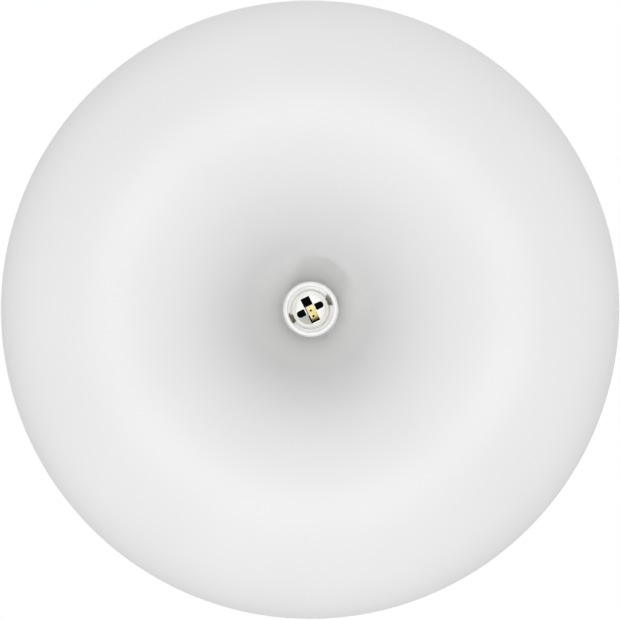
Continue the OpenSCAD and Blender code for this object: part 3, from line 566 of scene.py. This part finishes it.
def revolved(name, outline, columns):
    """A closed outline of (radius, height) turned about the light's axis.

    Each point is radius times the cosine and sine of the turn, and keeps its height.
    """
    turn = np.linspace(0, 2 * math.pi, columns, endpoint=False)[None, :]
    radius, height = outline[:, :1], outline[:, 1:]
    points = np.stack([radius * np.cos(turn), radius * np.sin(turn), height + 0 * turn], axis=-1)
    return put_mesh(name, points, grid_faces(len(outline), columns))


def prism(name, outline, low, high, place):
    """An outline of (x, y) drawn straight from low to high, with flat ends, then placed."""
    points = np.concatenate([np.insert(outline, 2, level, axis=1) for level in (low, high)])
    points = points @ np.array(place.to_3x3()).T + np.array(place.translation)
    return put_mesh(name, points, capped_faces(2, len(outline)))


def scaled(rows):
    """Rows of millimetres in metres."""
    return np.array(rows, dtype=float) * MM


def box_outline(left, right, low, high, radius):
    """A rectangle in millimetres with rounded corners."""
    corners = [(left, low), (right, low), (right, high), (left, high)]
    return rounded(scaled([(x, y, radius) for x, y in corners]), 5)


def circle(radius, count=32):
    """Points of a full circle round the origin, with no point twice."""
    return arc((0, 0), radius, 0, 360 * (1 - 1 / count), count)


def from_holder(u, v, z):
    """Points from the lampholder's own directions into the frame."""
    points = u[..., None] * U + v[..., None] * V
    points[..., 2] = z
    return points


def holder_matrix(u=0.0, v=0.0, z=0.0):
    """The move that puts a shape drawn in the lampholder's own directions in its place."""
    turn = Matrix.Rotation(HOLDER_TURN, 4, "Z")
    return Matrix.Translation(Vector(u * U + v * V) + Vector((0, 0, z))) @ turn


def carve(piece, cutters):
    """Takes the cutters out of the piece and deletes them."""
    for cutter in cutters:
        cut = piece.modifiers.new("cut", "BOOLEAN")
        cut.operation, cut.solver, cut.object = "DIFFERENCE", "EXACT", cutter
    keep_result(piece)
    for cutter in cutters:
        bpy.data.objects.remove(cutter)
    clean(piece)
    return piece


def keep_result(piece):
    """Makes what the modifiers give the piece's own mesh."""
    bpy.context.view_layer.update()
    evaluated = piece.evaluated_get(bpy.context.evaluated_depsgraph_get())
    result = bpy.data.meshes.new_from_object(evaluated)
    piece.modifiers.clear()
    piece.data = result


def soften_edges(piece, width):
    """A small round on edges sharper than 35 degrees."""
    bevel = piece.modifiers.new("edge round", "BEVEL")
    bevel.width, bevel.segments = width, 2
    bevel.limit_method, bevel.angle_limit = "ANGLE", math.radians(35)
    bevel.harden_normals = False


def dress(piece, node, others=(), smooth_angle=30):
    """Shades the piece, gives it the node's finish and puts it in the node's place."""
    piece.data.polygons.foreach_set("use_smooth", np.ones(len(piece.data.polygons), dtype=bool))
    piece.data.set_sharp_from_angle(angle=math.radians(smooth_angle))
    slot = slot_of(node)
    piece.data.materials.clear()
    piece.data.materials.append(finish_for(slot, bpy.context.scene.ring_light.colours))
    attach(piece, body_of(node))
    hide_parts(node, *others)
    return piece


def refined_copy(node, name, width=0.12 * MM):
    """A merged copy of a CAD node with its flats joined and its edges rounded."""
    piece = bpy.data.objects.new(name, frame["nodes"][node].data.copy())
    bpy.context.scene.collection.objects.link(piece)
    shape = bmesh.new()
    shape.from_mesh(piece.data)
    bmesh.ops.remove_doubles(shape, verts=shape.verts, dist=1e-6)
    bmesh.ops.dissolve_limit(shape, angle_limit=math.radians(0.5), verts=shape.verts, edges=shape.edges)
    shape.to_mesh(piece.data)
    shape.free()
    soften_edges(piece, width)
    return dress(piece, node)


# Shade


def shade_outline(shade, holder_radius):
    """The shade's sheet as a closed outline, from the hub's hole round both faces.

    The front face is four touching arcs: the hub's fillet, the wall, and the rolls on both
    sides of the crest. The wall's radius is the one that touches the fillet and leaves the
    inner roll a little before a straight wall would. The back face is the same arcs one
    sheet deeper. The bead is a circle that touches the front face at its end, and it runs
    round until it meets the back face.
    """
    crest_r = shade.radius - shade.outer_roll
    crest_z = SHADE_LOW[2]
    fillet_c = np.array([holder_radius + shade.hub_rim, HUB_Z - shade.hub_fillet])
    inner_c = np.array([crest_r, crest_z + shade.inner_roll])
    outer_c = np.array([crest_r, crest_z + shade.outer_roll])
    centres, reach = inner_c - fillet_c, shade.inner_roll + shade.hub_fillet
    straight = math.atan2(-centres[1], centres[0]) + math.asin(reach / np.linalg.norm(centres))
    wall_from = straight - shade.wall_curl
    wall_dir = np.array([math.sin(wall_from), math.cos(wall_from)])
    extra = (centres @ centres - reach * reach) / (2 * (reach - centres @ wall_dir))
    wall_c = inner_c + extra * wall_dir
    wall_to = math.atan2(wall_c[0] - fillet_c[0], wall_c[1] - fillet_c[1])
    wall_from, wall_to = math.degrees(wall_from), math.degrees(wall_to)

    bead_z, swing = SHADE_HIGH[2] - shade.bead, shade.outer_roll - shade.bead
    edge = math.acos((outer_c[1] - bead_z) / swing)
    meet = math.acos((shade.bead - shade.sheet) / shade.bead)
    back_edge = edge - shade.bead * math.sin(meet) / shade.outer_roll
    bead_c = outer_c + swing * np.array([math.sin(edge), -math.cos(edge)])
    edge, meet, back_edge = (math.degrees(angle) for angle in (edge, meet, back_edge))

    bends = [(fillet_c, shade.hub_fillet, 1, 90, 90 - wall_to, 10, 90 - wall_to),
             (wall_c, shade.inner_roll + extra, -1, 270 - wall_to, 270 - wall_from, 14, 270 - wall_from),
             (inner_c, shade.inner_roll, -1, 270 - wall_from, 270, 30, 270),
             (outer_c, shade.outer_roll, -1, 270, 270 + edge, 76, 270 + back_edge)]
    front = [arc(c, r, start, end, count) for c, r, side, start, end, count, back_end in bends]
    back = [arc(c, r + side * shade.sheet, start, back_end, count)
            for c, r, side, start, end, count, back_end in bends]
    bead = arc(bead_c, shade.bead, 270 + edge, 630 + edge - meet, 22)
    hole = NIPPLE_R + 0.1 * MM
    start = np.array([[hole, HUB_Z]])
    close = np.array([[hole, HUB_Z + shade.sheet]])
    return np.concatenate([start, *front, bead, np.concatenate(back)[::-1], close])


class RING_LIGHT_OT_shade(bpy.types.Operator):
    """Spun shade with its dish, rolls and back bead"""

    bl_idname = "ring_light.shade"
    bl_label = "Shade"

    def execute(self, context):
        settings = context.scene.ring_light
        outline = shade_outline(settings.shade, settings.holder.radius)
        dress(revolved("spun_shade", outline, 256), "shade")
        return {"FINISHED"}


# Lampholder


def skirt_rows(holder):
    """The skirt's outline as rows of radius, height, back of the window there and share of thread.

    It runs up the inside from the mouth, over the spigot and down the outside to the lip.
    The back of the window is 0 where no window cuts the row, and a row stands twice where
    the window's back steps.
    """
    lip = (holder.radius - holder.mouth) / 2
    lip_edge = arc((holder.radius - lip, MOUTH_Z + lip), lip, 0, -165, 30)
    bore_low, bore_high = lip_edge[-1, 1] + 0.3 * MM, MOUTH_Z + 16 * MM
    window, pocket, root, chamber = 14.6 * MM, 16.2 * MM, 14.8 * MM, 14.2 * MM
    pocket_low, pocket_high = bore_high - 2 * MM, REAR_CAP_Z - 1 * MM
    spigot = holder.radius - 2.05 * MM
    lead_in = np.linspace(lip_edge[-1], (holder.bore, bore_low), 5)[1:-1]
    rows = [[r, z, window, 0] for r, z in lead_in]
    for low, high, back, count in ((bore_low, pocket_low, window, 100),
                                   (pocket_low, bore_high, pocket, 18)):
        for z in np.linspace(low, high, count):
            share = min(z - bore_low, bore_high - z) / (1.2 * MM)
            rows.append([holder.bore, z, back, min(max(share, 0), 1)])
    rows += [[chamber, z, pocket, 0] for z in (bore_high + 0.5 * MM, pocket_high)]
    rows += [[chamber, pocket_high, root, 0], [chamber, SPIGOT_TOP_Z - 0.3 * MM, root, 0],
             [chamber + 0.2 * MM, SPIGOT_TOP_Z, root, 0], [spigot - 0.2 * MM, SPIGOT_TOP_Z, 0, 0],
             [spigot, SPIGOT_TOP_Z - 0.3 * MM, 0, 0], [spigot, REAR_CAP_Z, 0, 0]]
    edge = 0.25 * MM
    rows += [[r, z, 0, 0] for r, z in arc((holder.radius - edge, REAR_CAP_Z - edge), edge, 90, 0, 5)]
    return np.array(rows + [[r, z, window, 0] for r, z in lip_edge])


def skirt_points(holder):
    """The skirt as a grid: a row for each point of its outline and a column for each angle.

    The columns on the sides of both windows stand twice, once on the wall and once on the
    window's back. The thread is a knuckle thread: crests and roots are arcs of one radius
    that touch halfway up the flank. An arc falls by its radius less the root of the radius
    squared less the distance from its middle squared. The distance runs along the axis, from
    the phase of the helix, which is the height over the pitch less the share of the turn.
    """
    rows = skirt_rows(holder)
    radius, height, back, share = (rows[:, i:i + 1] for i in range(4))
    half = math.asin(holder.window / 2 / holder.neck)
    window, wall = np.linspace(-half, half, 13), np.linspace(half, math.pi - half, 116)
    turn = np.concatenate([window, wall, window + math.pi, wall + math.pi])
    open_there = np.tile(np.repeat([True, False], [len(window), len(wall)]), 2)
    phase = (height / holder.pitch - turn / (2 * math.pi)) % 1.0
    from_crest = np.minimum(phase, 1 - phase) * holder.pitch
    knuckle = (holder.pitch ** 2 / 16 + holder.thread_depth ** 2 / 4) / holder.thread_depth
    near = np.minimum(from_crest, holder.pitch / 2 - from_crest)
    fall = knuckle - np.sqrt(knuckle ** 2 - near ** 2)
    ridge = np.where(from_crest < holder.pitch / 4, holder.thread_depth - fall, fall)
    wall = radius - share * ridge
    wall = np.where(open_there & (back > 0), np.maximum(back, radius), wall)
    return from_holder(wall * np.cos(turn), wall * np.sin(turn), height + 0 * turn)


def rear_cap_piece(holder):
    """The rear cap: a rounded cup turned about the axis, with a boss and the grub screw's hole."""
    edge, inside = 1.0 * MM, 2.0 * MM
    wall_r = holder.radius - inside
    core_r, core_z = wall_r - 1.4 * MM, HUB_Z - 2.5 * MM
    boss_r, boss_z = 8 * MM, HUB_Z - 6.5 * MM
    bore_r, seat_z = 5 * MM, BLOCK_REAR_Z - 3 * MM
    small = 0.25 * MM
    outline = rounded([
        (bore_r, HUB_Z, 0.2 * MM), (holder.radius, HUB_Z, edge), (holder.radius, REAR_CAP_Z, small),
        (wall_r, REAR_CAP_Z, 0.1 * MM), (wall_r, seat_z, 0.1 * MM), (core_r, seat_z, small),
        (core_r, core_z, 0.8 * MM), (boss_r, core_z, 0.8 * MM), (boss_r, boss_z, small),
        (bore_r, boss_z, small)])
    piece = revolved("lampholder_rear_cap_moulding", outline, 160)
    hole = Matrix.Translation((0, 0, HUB_Z - 4.25 * MM)) @ Matrix.Rotation(HOLDER_TURN, 4, "Z")
    hole = hole @ Matrix.Rotation(math.radians(-90), 4, "X")
    return carve(piece, [prism("grub_hole", circle(1.5 * MM), 0.0, holder.radius + 1 * MM, hole)])


def contact_block_piece(holder):
    """The contact block: its island, ledge and flange turned about the axis, with the pockets cut in."""
    edge = 0.2 * MM
    ledge_z, flange_z = ISLAND_Z + 1.5 * MM, SPIGOT_TOP_Z + 1.5 * MM
    flange, back, seat, seat_z = 15.6 * MM, 12 * MM, 10.65 * MM, BLOCK_REAR_Z - 0.8 * MM
    axis = 0.001 * MM
    outline = rounded([
        (axis, ISLAND_Z, 0), (holder.island, ISLAND_Z, edge), (holder.island, ledge_z, edge),
        (holder.neck, ledge_z, edge), (holder.neck, SPIGOT_TOP_Z, edge), (flange, SPIGOT_TOP_Z, edge),
        (flange, flange_z, edge), (back, flange_z, edge), (back, BLOCK_REAR_Z, edge),
        (seat, BLOCK_REAR_Z, 0.1 * MM), (seat, seat_z, 0.1 * MM), (axis, seat_z, 0)], 5)
    piece = revolved("contact_block_moulding", outline, 160)
    low, high, place = ISLAND_Z - 1 * MM, BLOCK_REAR_Z, holder_matrix()
    cutters = [prism("square_pocket", box_outline(-3.05, 3.05, -8.6, -2.6, 0.35), low, high, place)]
    for side in (-1, 1):
        near, far, half = 3.5, 9.3, 2.25
        pocket = scaled([(side * near, -half, 0.7), (side * far, -half, 2.0),
                         (side * far, half, 2.0), (side * near, half, 0.7)])
        cutters.append(prism("side_pocket", rounded(pocket, 8), low, high, place))
        notch = box_outline(side * 13.0, side * 14.2, -3.3, 3.2, 0.2)
        cutters.append(prism("root_notch", notch, SPIGOT_TOP_Z - 1 * MM, flange_z + 1 * MM, place))
    bore = circle(1.3 * MM)
    cutters += [prism("rivet_bore", bore, low, high, holder_matrix(0, v)) for v in STRIP_HOLES]
    # The strip lies in a shallow recess, and a slot beside and behind its root goes right through.
    recess = box_outline(-3.1, 3.1, 2.9, 8.7, 0.3)
    cutters.append(prism("root_recess", recess, low, ISLAND_Z + 3 * MM, place))
    slot = [(-3.05, 2.95), (-1.9, 2.95), (-1.9, 7.3), (3.05, 7.3), (3.05, 8.65), (-3.05, 8.65)]
    slot = rounded(scaled([(u, v, 0.2) for u, v in slot]), 5)
    cutters.append(prism("root_slot", slot, ISLAND_Z + 2 * MM, high, place))
    cutters.append(ramp_cutter(holder.island - 0.3 * MM))
    return carve(piece, cutters)


def ramp_cutter(reach):
    """The ramp beside the left pocket, as a wedge whose far side follows the island's rim.

    Its floor rises evenly from the pocket to the island's face. Each of its columns ends on
    the rim's circle or at the floor's far end, whichever comes first.
    """
    start, end, near, depth = 2.2 * MM, 8.8 * MM, 3.05 * MM, 6.5 * MM
    outermost = math.sqrt(reach ** 2 - start ** 2) - 0.01 * MM
    across = np.linspace(-outermost, -near, 24)
    far = np.minimum(end, np.sqrt(reach ** 2 - across ** 2))
    along = start + (far - start) * np.linspace(0, 1, 12)[:, None]
    floor = ISLAND_Z + depth * (end - along) / (end - start)
    across = across + 0 * along
    bottom = from_holder(across, along, floor)
    top = from_holder(across, along, 0 * floor + ISLAND_Z - 1 * MM)
    grid = np.concatenate([bottom, top[::-1]])
    return put_mesh("ramp", grid.transpose(1, 0, 2), capped_faces(grid.shape[1], grid.shape[0]))


class RING_LIGHT_OT_lampholder(bpy.types.Operator):
    """Lampholder mouldings: threaded skirt, rear cap and contact block"""

    bl_idname = "ring_light.lampholder"
    bl_label = "Lampholder"

    def execute(self, context):
        holder = context.scene.ring_light.holder
        points = skirt_points(holder)
        skirt = put_mesh("lampholder_threaded_skirt", points, grid_faces(*points.shape[:2]))
        dress(skirt, "lampholder_skirt")
        dress(rear_cap_piece(holder), "lampholder_rear_cap")
        dress(contact_block_piece(holder), "contact_block")
        return {"FINISHED"}


# Contacts


def strip_mesh(name, path, width, thickness, place, bend=0.0):
    """A strip carried along a path of distances and heights, with rounded long edges.

    Each section is a flattened ring: both faces keep half the thickness from its middle, and
    close to the edges they meet along a circle. With a bend, the section lies round the axis
    at that radius, and else it is straight. place turns flat points into the frame.
    """
    path = np.asarray(path)
    along = np.gradient(path, axis=0)
    along /= np.linalg.norm(along, axis=1, keepdims=True)
    normal = np.column_stack([-along[:, 1], along[:, 0]])
    share = np.linspace(-1, 1, 21)
    past = np.clip((np.abs(share) * width - width + thickness) / thickness, 0, 1)
    half = thickness / 2 * np.sqrt(np.clip(1 - past ** 2, 0.03, 1))
    across = np.concatenate([share, share[::-1]]) * width / 2
    offset = np.concatenate([half, -half[::-1]])
    out = path[:, :1] + normal[:, :1] * offset
    height = path[:, 1:] + normal[:, 1:] * offset
    if bend:
        points = place(out * np.cos(across / bend), out * np.sin(across / bend), height)
    else:
        points = place(out, across + 0 * out, height)
    return put_mesh(name, points, capped_faces(*points.shape[:2]))


def smoothed(points, radii, count=8):
    """An open path with an arc in each inner corner, by the same rule as a rounded outline."""
    corners = np.column_stack([np.array(points, dtype=float), np.array(radii, dtype=float)])
    return rounded(corners, count)[count - 1:-(count - 1)]


class RING_LIGHT_OT_contacts(bpy.types.Operator):
    """Sprung middle contact and the two side contacts"""

    bl_idname = "ring_light.contacts"
    bl_label = "Contacts"

    def execute(self, context):
        strip, slope = 0.5 * MM, math.radians(19)
        middle_width, side_width = 5.8 * MM, 5.6 * MM
        root, root_z, length = 7.6 * MM, ISLAND_Z - 0.6 * MM, 9.75 * MM / math.cos(slope)
        # The middle line of the strip: down its leg, round the bend and along the slope.
        turn = np.array([root - strip / 2, root_z + strip / 2])
        tip = turn - length * np.array([math.cos(slope), math.sin(slope)])
        path = smoothed([(turn[0], root_z + 3 * MM), turn, tip], (0, 0.5 * MM, 0))
        place = lambda v, u, z: from_holder(u, v, z)
        middle = strip_mesh("middle_contact_strip", path, middle_width, strip, place)
        notch = box_outline(-4.0, -2.1, 2.5, 9.0, 0.3)
        cutters = [prism("strip_notch", notch, root_z - 4 * MM, root_z + 4 * MM, holder_matrix())]
        for v in STRIP_HOLES:
            height = root_z - (root - v) * math.tan(slope)
            place = holder_matrix(0, v, height) @ Matrix.Rotation(slope, 4, "X")
            cutters.append(prism("strip_hole", circle(0.8 * MM), -2 * MM, 2 * MM, place))
        middle = dress(carve(middle, cutters), "centre_contact")
        middle.data.materials[0] = brass_with_painted_shade()

        # The middle line of a tongue: down the bore's wall, in over the bulge and out to the tip.
        back, bulge, tip = 13.15 * MM, 11.6 * MM, 13.6 * MM
        ledge_z, bulge_z = ISLAND_Z + 1.5 * MM, ISLAND_Z - 5 * MM
        corners = [(back, BLOCK_REAR_Z - 3 * MM), (back, ledge_z),
                   (bulge, bulge_z), (tip, bulge_z - 4.4 * MM)]
        path = smoothed(np.array(corners) + [strip / 2, 0], (0, 2 * MM, 1.6 * MM, 0), 10)
        shift = math.asin(0.2 * MM / back)
        for name, node, lean in (("side_tongue_right", "side_contact_right", shift),
                                 ("side_tongue_left", "side_contact_left", math.pi - shift)):
            place = lambda u, v, z: from_holder(u * math.cos(lean) - v * math.sin(lean),
                                                u * math.sin(lean) + v * math.cos(lean), z)
            dress(strip_mesh(name, path, side_width, strip, place, bend=back), node)
        return {"FINISHED"}


# Behind the shade


class RING_LIGHT_OT_ceiling_plate(bpy.types.Operator):
    """Ceiling plate with its studs, grommet and earth terminal"""

    bl_idname = "ring_light.ceiling_plate"
    bl_label = "Ceiling plate"

    def execute(self, context):
        for node, name, width in (("ceiling_plate", "pressed_ceiling_plate", 0.25),
                                  ("locking_studs", "turned_locking_studs", 0.2),
                                  ("cable_grommet", "rubber_grommet", 0.25),
                                  ("earth_screw", "plate_earth_screw", 0.15),
                                  ("earth_cup_washer", "plate_earth_washer", 0.2)):
            refined_copy(node, name, width * MM)
        return {"FINISHED"}


class RING_LIGHT_OT_mounting(bpy.types.Operator):
    """Mounting cup, nipple, nut, rivets, clamps and the terminal block"""

    bl_idname = "ring_light.mounting"
    bl_label = "Mounting"

    def execute(self, context):
        for node in ("mounting_cup", "hub_rivets", "nipple", "nipple_nut", "earth_washer", "nipple_bush",
                     "insulating_disc", "rear_cap_lock_screw", "holder_terminals", "holder_terminal_screws",
                     "terminal_block", "terminal_barrels", "terminal_screws", "block_fixing_screws"):
            refined_copy(node, "finished_" + node)
        return {"FINISHED"}


# Leads


def smooth_route(points, per=10):
    """A smooth curve through route points.

    Between two points it is the cubic that runs through both, with the slope at each being
    half the way from the point before it to the point after it.
    """
    padded = np.concatenate([points[:1], points, points[-1:]])
    share = np.linspace(0, 1, per, endpoint=False)[None, :, None]
    a, b, c, d = (padded[i:len(points) - 1 + i, None] for i in range(4))
    run = 0.5 * (2 * b + (c - a) * share + (2 * a - 5 * b + 4 * c - d) * share ** 2
                 + (3 * b - a - 3 * c + d) * share ** 3)
    return np.concatenate([run.reshape(-1, 3), points[-1:]])


def tube_along(name, path, radius, sides=20):
    """A tube along a path, with each point's direction from the middle in its attribute around.

    Each ring is the path's point plus the radius times the cosine and sine of the turn along
    two directions square to the path, which are carried on without a twist.
    """
    along = np.gradient(path, axis=0)
    along /= np.linalg.norm(along, axis=1, keepdims=True)
    side = [np.array([0.0, 0.0, 1.0])]
    for step in along:
        carried = side[-1] - (side[-1] @ step) * step
        side.append(carried / np.linalg.norm(carried))
    side = np.array(side[1:])
    turn = np.linspace(0, 2 * math.pi, sides, endpoint=False)[None, :, None]
    out = np.cos(turn) * side[:, None] + np.sin(turn) * np.cross(along, side)[:, None]
    points = path[:, None] + radius * out
    tube = put_mesh(name, points, capped_faces(len(path), sides))
    around = np.concatenate([np.cos(turn), np.sin(turn), 0 * turn], axis=-1)
    around = np.tile(around, (len(path), 1, 1))
    attribute = tube.data.attributes.new("around", "FLOAT_VECTOR", "POINT")
    attribute.data.foreach_set("vector", around.ravel())
    return tube


def supply_route(side, pole):
    """A supply lead's route in metres: from its clamp through the nipple into its barrel."""
    first = side * scaled([11.2, 7.6, 4.4, 1.9, 1.35, 1.35, 1.35])[:, None] * U
    first[:5, 2] = BLOCK_REAR_Z + scaled([2.1, 2.1, 2.2, 3.9, 6.6])
    first[5:, 2] = NIPPLE_TOP_Z + scaled([-2, 2.2])
    first[-1, 1] += 0.3 * MM
    barrel_z = CUP_FLOOR_Z + 5.2 * MM
    last = [(0.35 * pole, 4 * MM, NIPPLE_TOP_Z + 4.6 * MM),
            (0.75 * pole, 8 * MM, NIPPLE_TOP_Z + 2.8 * MM), (pole, 10.6 * MM, barrel_z + 0.6 * MM),
            (pole, 12.6 * MM, barrel_z), (pole, 15.2 * MM, barrel_z)]
    return np.concatenate([first, last])


def earth_route():
    """The earth lead's route in metres: from the washer's tag round the nut into its barrel."""
    tag = np.radians(-35)
    rows = [(reach * math.cos(tag), reach * math.sin(tag), 2) for reach in (12.3, 16)]
    rows += [(16.5, -10.5, 3), (20, -7, 6), (21, 0, 8), (18, 6, 7), (13, 9, 6),
             (11, 12.4, 5.2), (11, 15.2, 5.2)]
    return scaled(rows) + [0, 0, CUP_FLOOR_Z]


class RING_LIGHT_OT_leads(bpy.types.Operator):
    """The light's own three leads"""

    bl_idname = "ring_light.leads"
    bl_label = "Leads"

    def execute(self, context):
        for node, route in (("line_lead", supply_route(-1, -POLE_PITCH)),
                            ("neutral_lead", supply_route(1, 0.0)), ("earth_lead", earth_route())):
            lead = tube_along("insulated_" + node, smooth_route(route), LEAD_RADIUS)
            dress(lead, node, smooth_angle=60)
        return {"FINISHED"}


# Stage


# The height of a direction, from -1 straight below to 1 straight above, for each sky value.
SKY_HEIGHTS = (-1.0, -0.97, -0.88, -0.7, -0.45, -0.15, 0.3, 1.0)

# The photograph's half-width and its rim's radius in pixels, and where its middle looks.
PICTURE_HALF, RIM_PIXELS = 310, 309.83
SIGHT = (-0.18 * MM, 0.31 * MM)


def make_world(stage):
    """White where the camera, a mirror or glass sees it, and a soft light of the room elsewhere.

    The light's strength runs from straight below to straight above through the stage's
    values, and it is a little stronger towards one side.
    """
    world = bpy.data.worlds.new("studio")
    bpy.context.scene.world = world
    world.use_nodes = True
    tree = world.node_tree
    tree.nodes.clear()
    direction = add_node(tree, "ShaderNodeTexCoord").outputs["Generated"]
    height = add_node(tree, "ShaderNodeSeparateXYZ", links={"Vector": direction}).outputs["Z"]
    share = add_node(tree, "ShaderNodeMapRange", links={
        "Value": height, "From Min": -1.0, "From Max": 1.0}).outputs["Result"]
    peak = max(stage.sky)
    sky = grey_ramp(tree, share, [((level + 1) / 2, strength / peak)
                                  for level, strength in zip(SKY_HEIGHTS, stage.sky)])
    lean = worked_out(tree, "MULTIPLY_ADD", distance_along(tree, direction, stage.sky_lean), peak, peak)
    soft = add_node(tree, "ShaderNodeBackground", links={
        "Color": srgb("#FFFFFF"), "Strength": worked_out(tree, "MULTIPLY", sky, lean)})
    white = add_node(tree, "ShaderNodeBackground", links={"Color": srgb("#FFFFFF"), "Strength": 1.0})
    rays = add_node(tree, "ShaderNodeLightPath").outputs
    seen = worked_out(tree, "MAXIMUM", rays["Is Camera Ray"], rays["Is Glossy Ray"])
    seen = worked_out(tree, "MAXIMUM", seen, rays["Is Transmission Ray"])
    mix = add_node(tree, "ShaderNodeMixShader", links={0: seen, 1: soft.outputs[0], 2: white.outputs[0]})
    add_node(tree, "ShaderNodeOutputWorld", links={"Surface": mix.outputs[0]})


def make_floor(stage):
    """A pale floor far below, for the camera alone, so that the room's light passes it."""
    reach, level = 40.0, -stage.distance - 12.0
    corners = np.array([(x * reach, y * reach, level) for x, y in ((-1, -1), (1, -1), (1, 1), (-1, 1))])
    floor = put_mesh("floor", corners, [[0, 1, 2, 3]])
    material = bpy.data.materials.new("pale_floor")
    material.use_nodes = True
    tree = material.node_tree
    tree.nodes.clear()
    paint = add_node(tree, "ShaderNodeBsdfDiffuse", links={"Color": srgb("#F2F2F0")})
    white = add_node(tree, "ShaderNodeEmission", links={"Color": srgb("#FFFFFF"), "Strength": 1.0})
    seen = add_node(tree, "ShaderNodeLightPath").outputs["Is Camera Ray"]
    mix = add_node(tree, "ShaderNodeMixShader", links={0: seen, 1: paint.outputs[0], 2: white.outputs[0]})
    add_node(tree, "ShaderNodeOutputMaterial", links={"Surface": mix.outputs[0]})
    floor.data.materials.append(material)
    for ray in ("diffuse", "glossy", "transmission", "shadow"):
        setattr(floor, "visible_" + ray, False)


def make_lamp(name, place, power, size):
    """A round lamp at a place below the light, facing it."""
    lamp = bpy.data.lights.new(name, "AREA")
    lamp.shape, lamp.size, lamp.energy = "DISK", size, power
    stand = bpy.data.objects.new(name, lamp)
    facing = (-place).to_track_quat("-Z", "Y").to_matrix().to_4x4()
    stand.matrix_world = Matrix.Translation(place) @ facing
    stand.visible_camera = False
    bpy.context.scene.collection.objects.link(stand)


def make_camera(stage):
    """A long lens straight below the light, with +X to the right and +Y down the picture.

    It looks at a point level with the shade's widest part. The tangent from the camera to the
    rim shows it at reach times radius over the root of reach squared less radius squared, and
    the sensor is as wide as puts that at the photograph's pixels.
    """
    data = bpy.data.cameras.new("camera")
    camera = bpy.data.objects.new("camera", data)
    bpy.context.scene.collection.objects.link(camera)
    widest_z = SHADE_LOW[2] + bpy.context.scene.ring_light.shade.outer_roll
    sight = Vector((*SIGHT, widest_z))
    reach = stage.distance + sight.z
    view = Matrix(((1, 0, 0), (0, -1, 0), (0, 0, -1))).to_4x4()
    lean = Matrix.Rotation(stage.view_tilt[0], 4, "X") @ Matrix.Rotation(stage.view_tilt[1], 4, "Y")
    camera.matrix_world = Matrix.Translation(sight) @ lean @ Matrix.Translation((0, 0, -reach)) @ view
    seen_radius = SHADE_HIGH[0] * reach / math.sqrt(reach ** 2 - SHADE_HIGH[0] ** 2)
    data.lens = 50.0
    data.sensor_width = 2 * data.lens * seen_radius * (PICTURE_HALF / RIM_PIXELS) / reach
    data.dof.use_dof = False
    bpy.context.scene.camera = camera


class RING_LIGHT_OT_stage(bpy.types.Operator):
    """Camera, floor, world and lamps"""

    bl_idname = "ring_light.stage"
    bl_label = "Stage"

    def execute(self, context):
        stage = context.scene.ring_light.stage
        make_world(stage)
        make_floor(stage)
        make_lamp("front_lamp", Vector((0, 0, -stage.distance - 0.02)), stage.front_power, stage.front_size)
        make_lamp("side_lamp", Vector(stage.side_from), stage.side_power, stage.side_size)
        make_camera(stage)
        context.scene.view_settings.view_transform = "Standard"
        return {"FINISHED"}


class RING_LIGHT_PT_panel(bpy.types.Panel):
    """Lists the settings and pieces"""

    bl_label = "Ring Light"
    bl_idname = "RING_LIGHT_PT_panel"
    bl_space_type = "VIEW_3D"
    bl_region_type = "UI"
    bl_category = "Ring Light"

    def draw(self, context):
        settings = context.scene.ring_light
        for group in (settings.shade, settings.holder, settings.stage, settings.colours):
            box = self.layout.box()
            for name in group.bl_rna.properties.keys():
                if name not in ("rna_type", "name"):
                    box.prop(group, name)
        for operator in OPERATORS:
            self.layout.operator(operator.bl_idname)


GROUPS = (RingLightShade, RingLightHolder, RingLightStage, RingLightColours, RingLightSettings)
OPERATORS = (RING_LIGHT_OT_shade, RING_LIGHT_OT_lampholder, RING_LIGHT_OT_contacts,
             RING_LIGHT_OT_ceiling_plate, RING_LIGHT_OT_mounting, RING_LIGHT_OT_leads,
             RING_LIGHT_OT_stage)


def register():
    """Registers the classes and hangs the settings on the scene."""
    for item in (*GROUPS, *OPERATORS, RING_LIGHT_PT_panel):
        bpy.utils.register_class(item)
    bpy.types.Scene.ring_light = PointerProperty(type=RingLightSettings)


def unregister():
    """Takes the settings and the classes away again."""
    del bpy.types.Scene.ring_light
    for item in reversed((*GROUPS, *OPERATORS, RING_LIGHT_PT_panel)):
        bpy.utils.unregister_class(item)


def main():
    register()
    bpy.ops.ring_light.shade()
    bpy.ops.ring_light.lampholder()
    bpy.ops.ring_light.contacts()
    bpy.ops.ring_light.ceiling_plate()
    bpy.ops.ring_light.mounting()
    bpy.ops.ring_light.leads()
    bpy.ops.ring_light.stage()


if __name__ == "__main__":
    main()
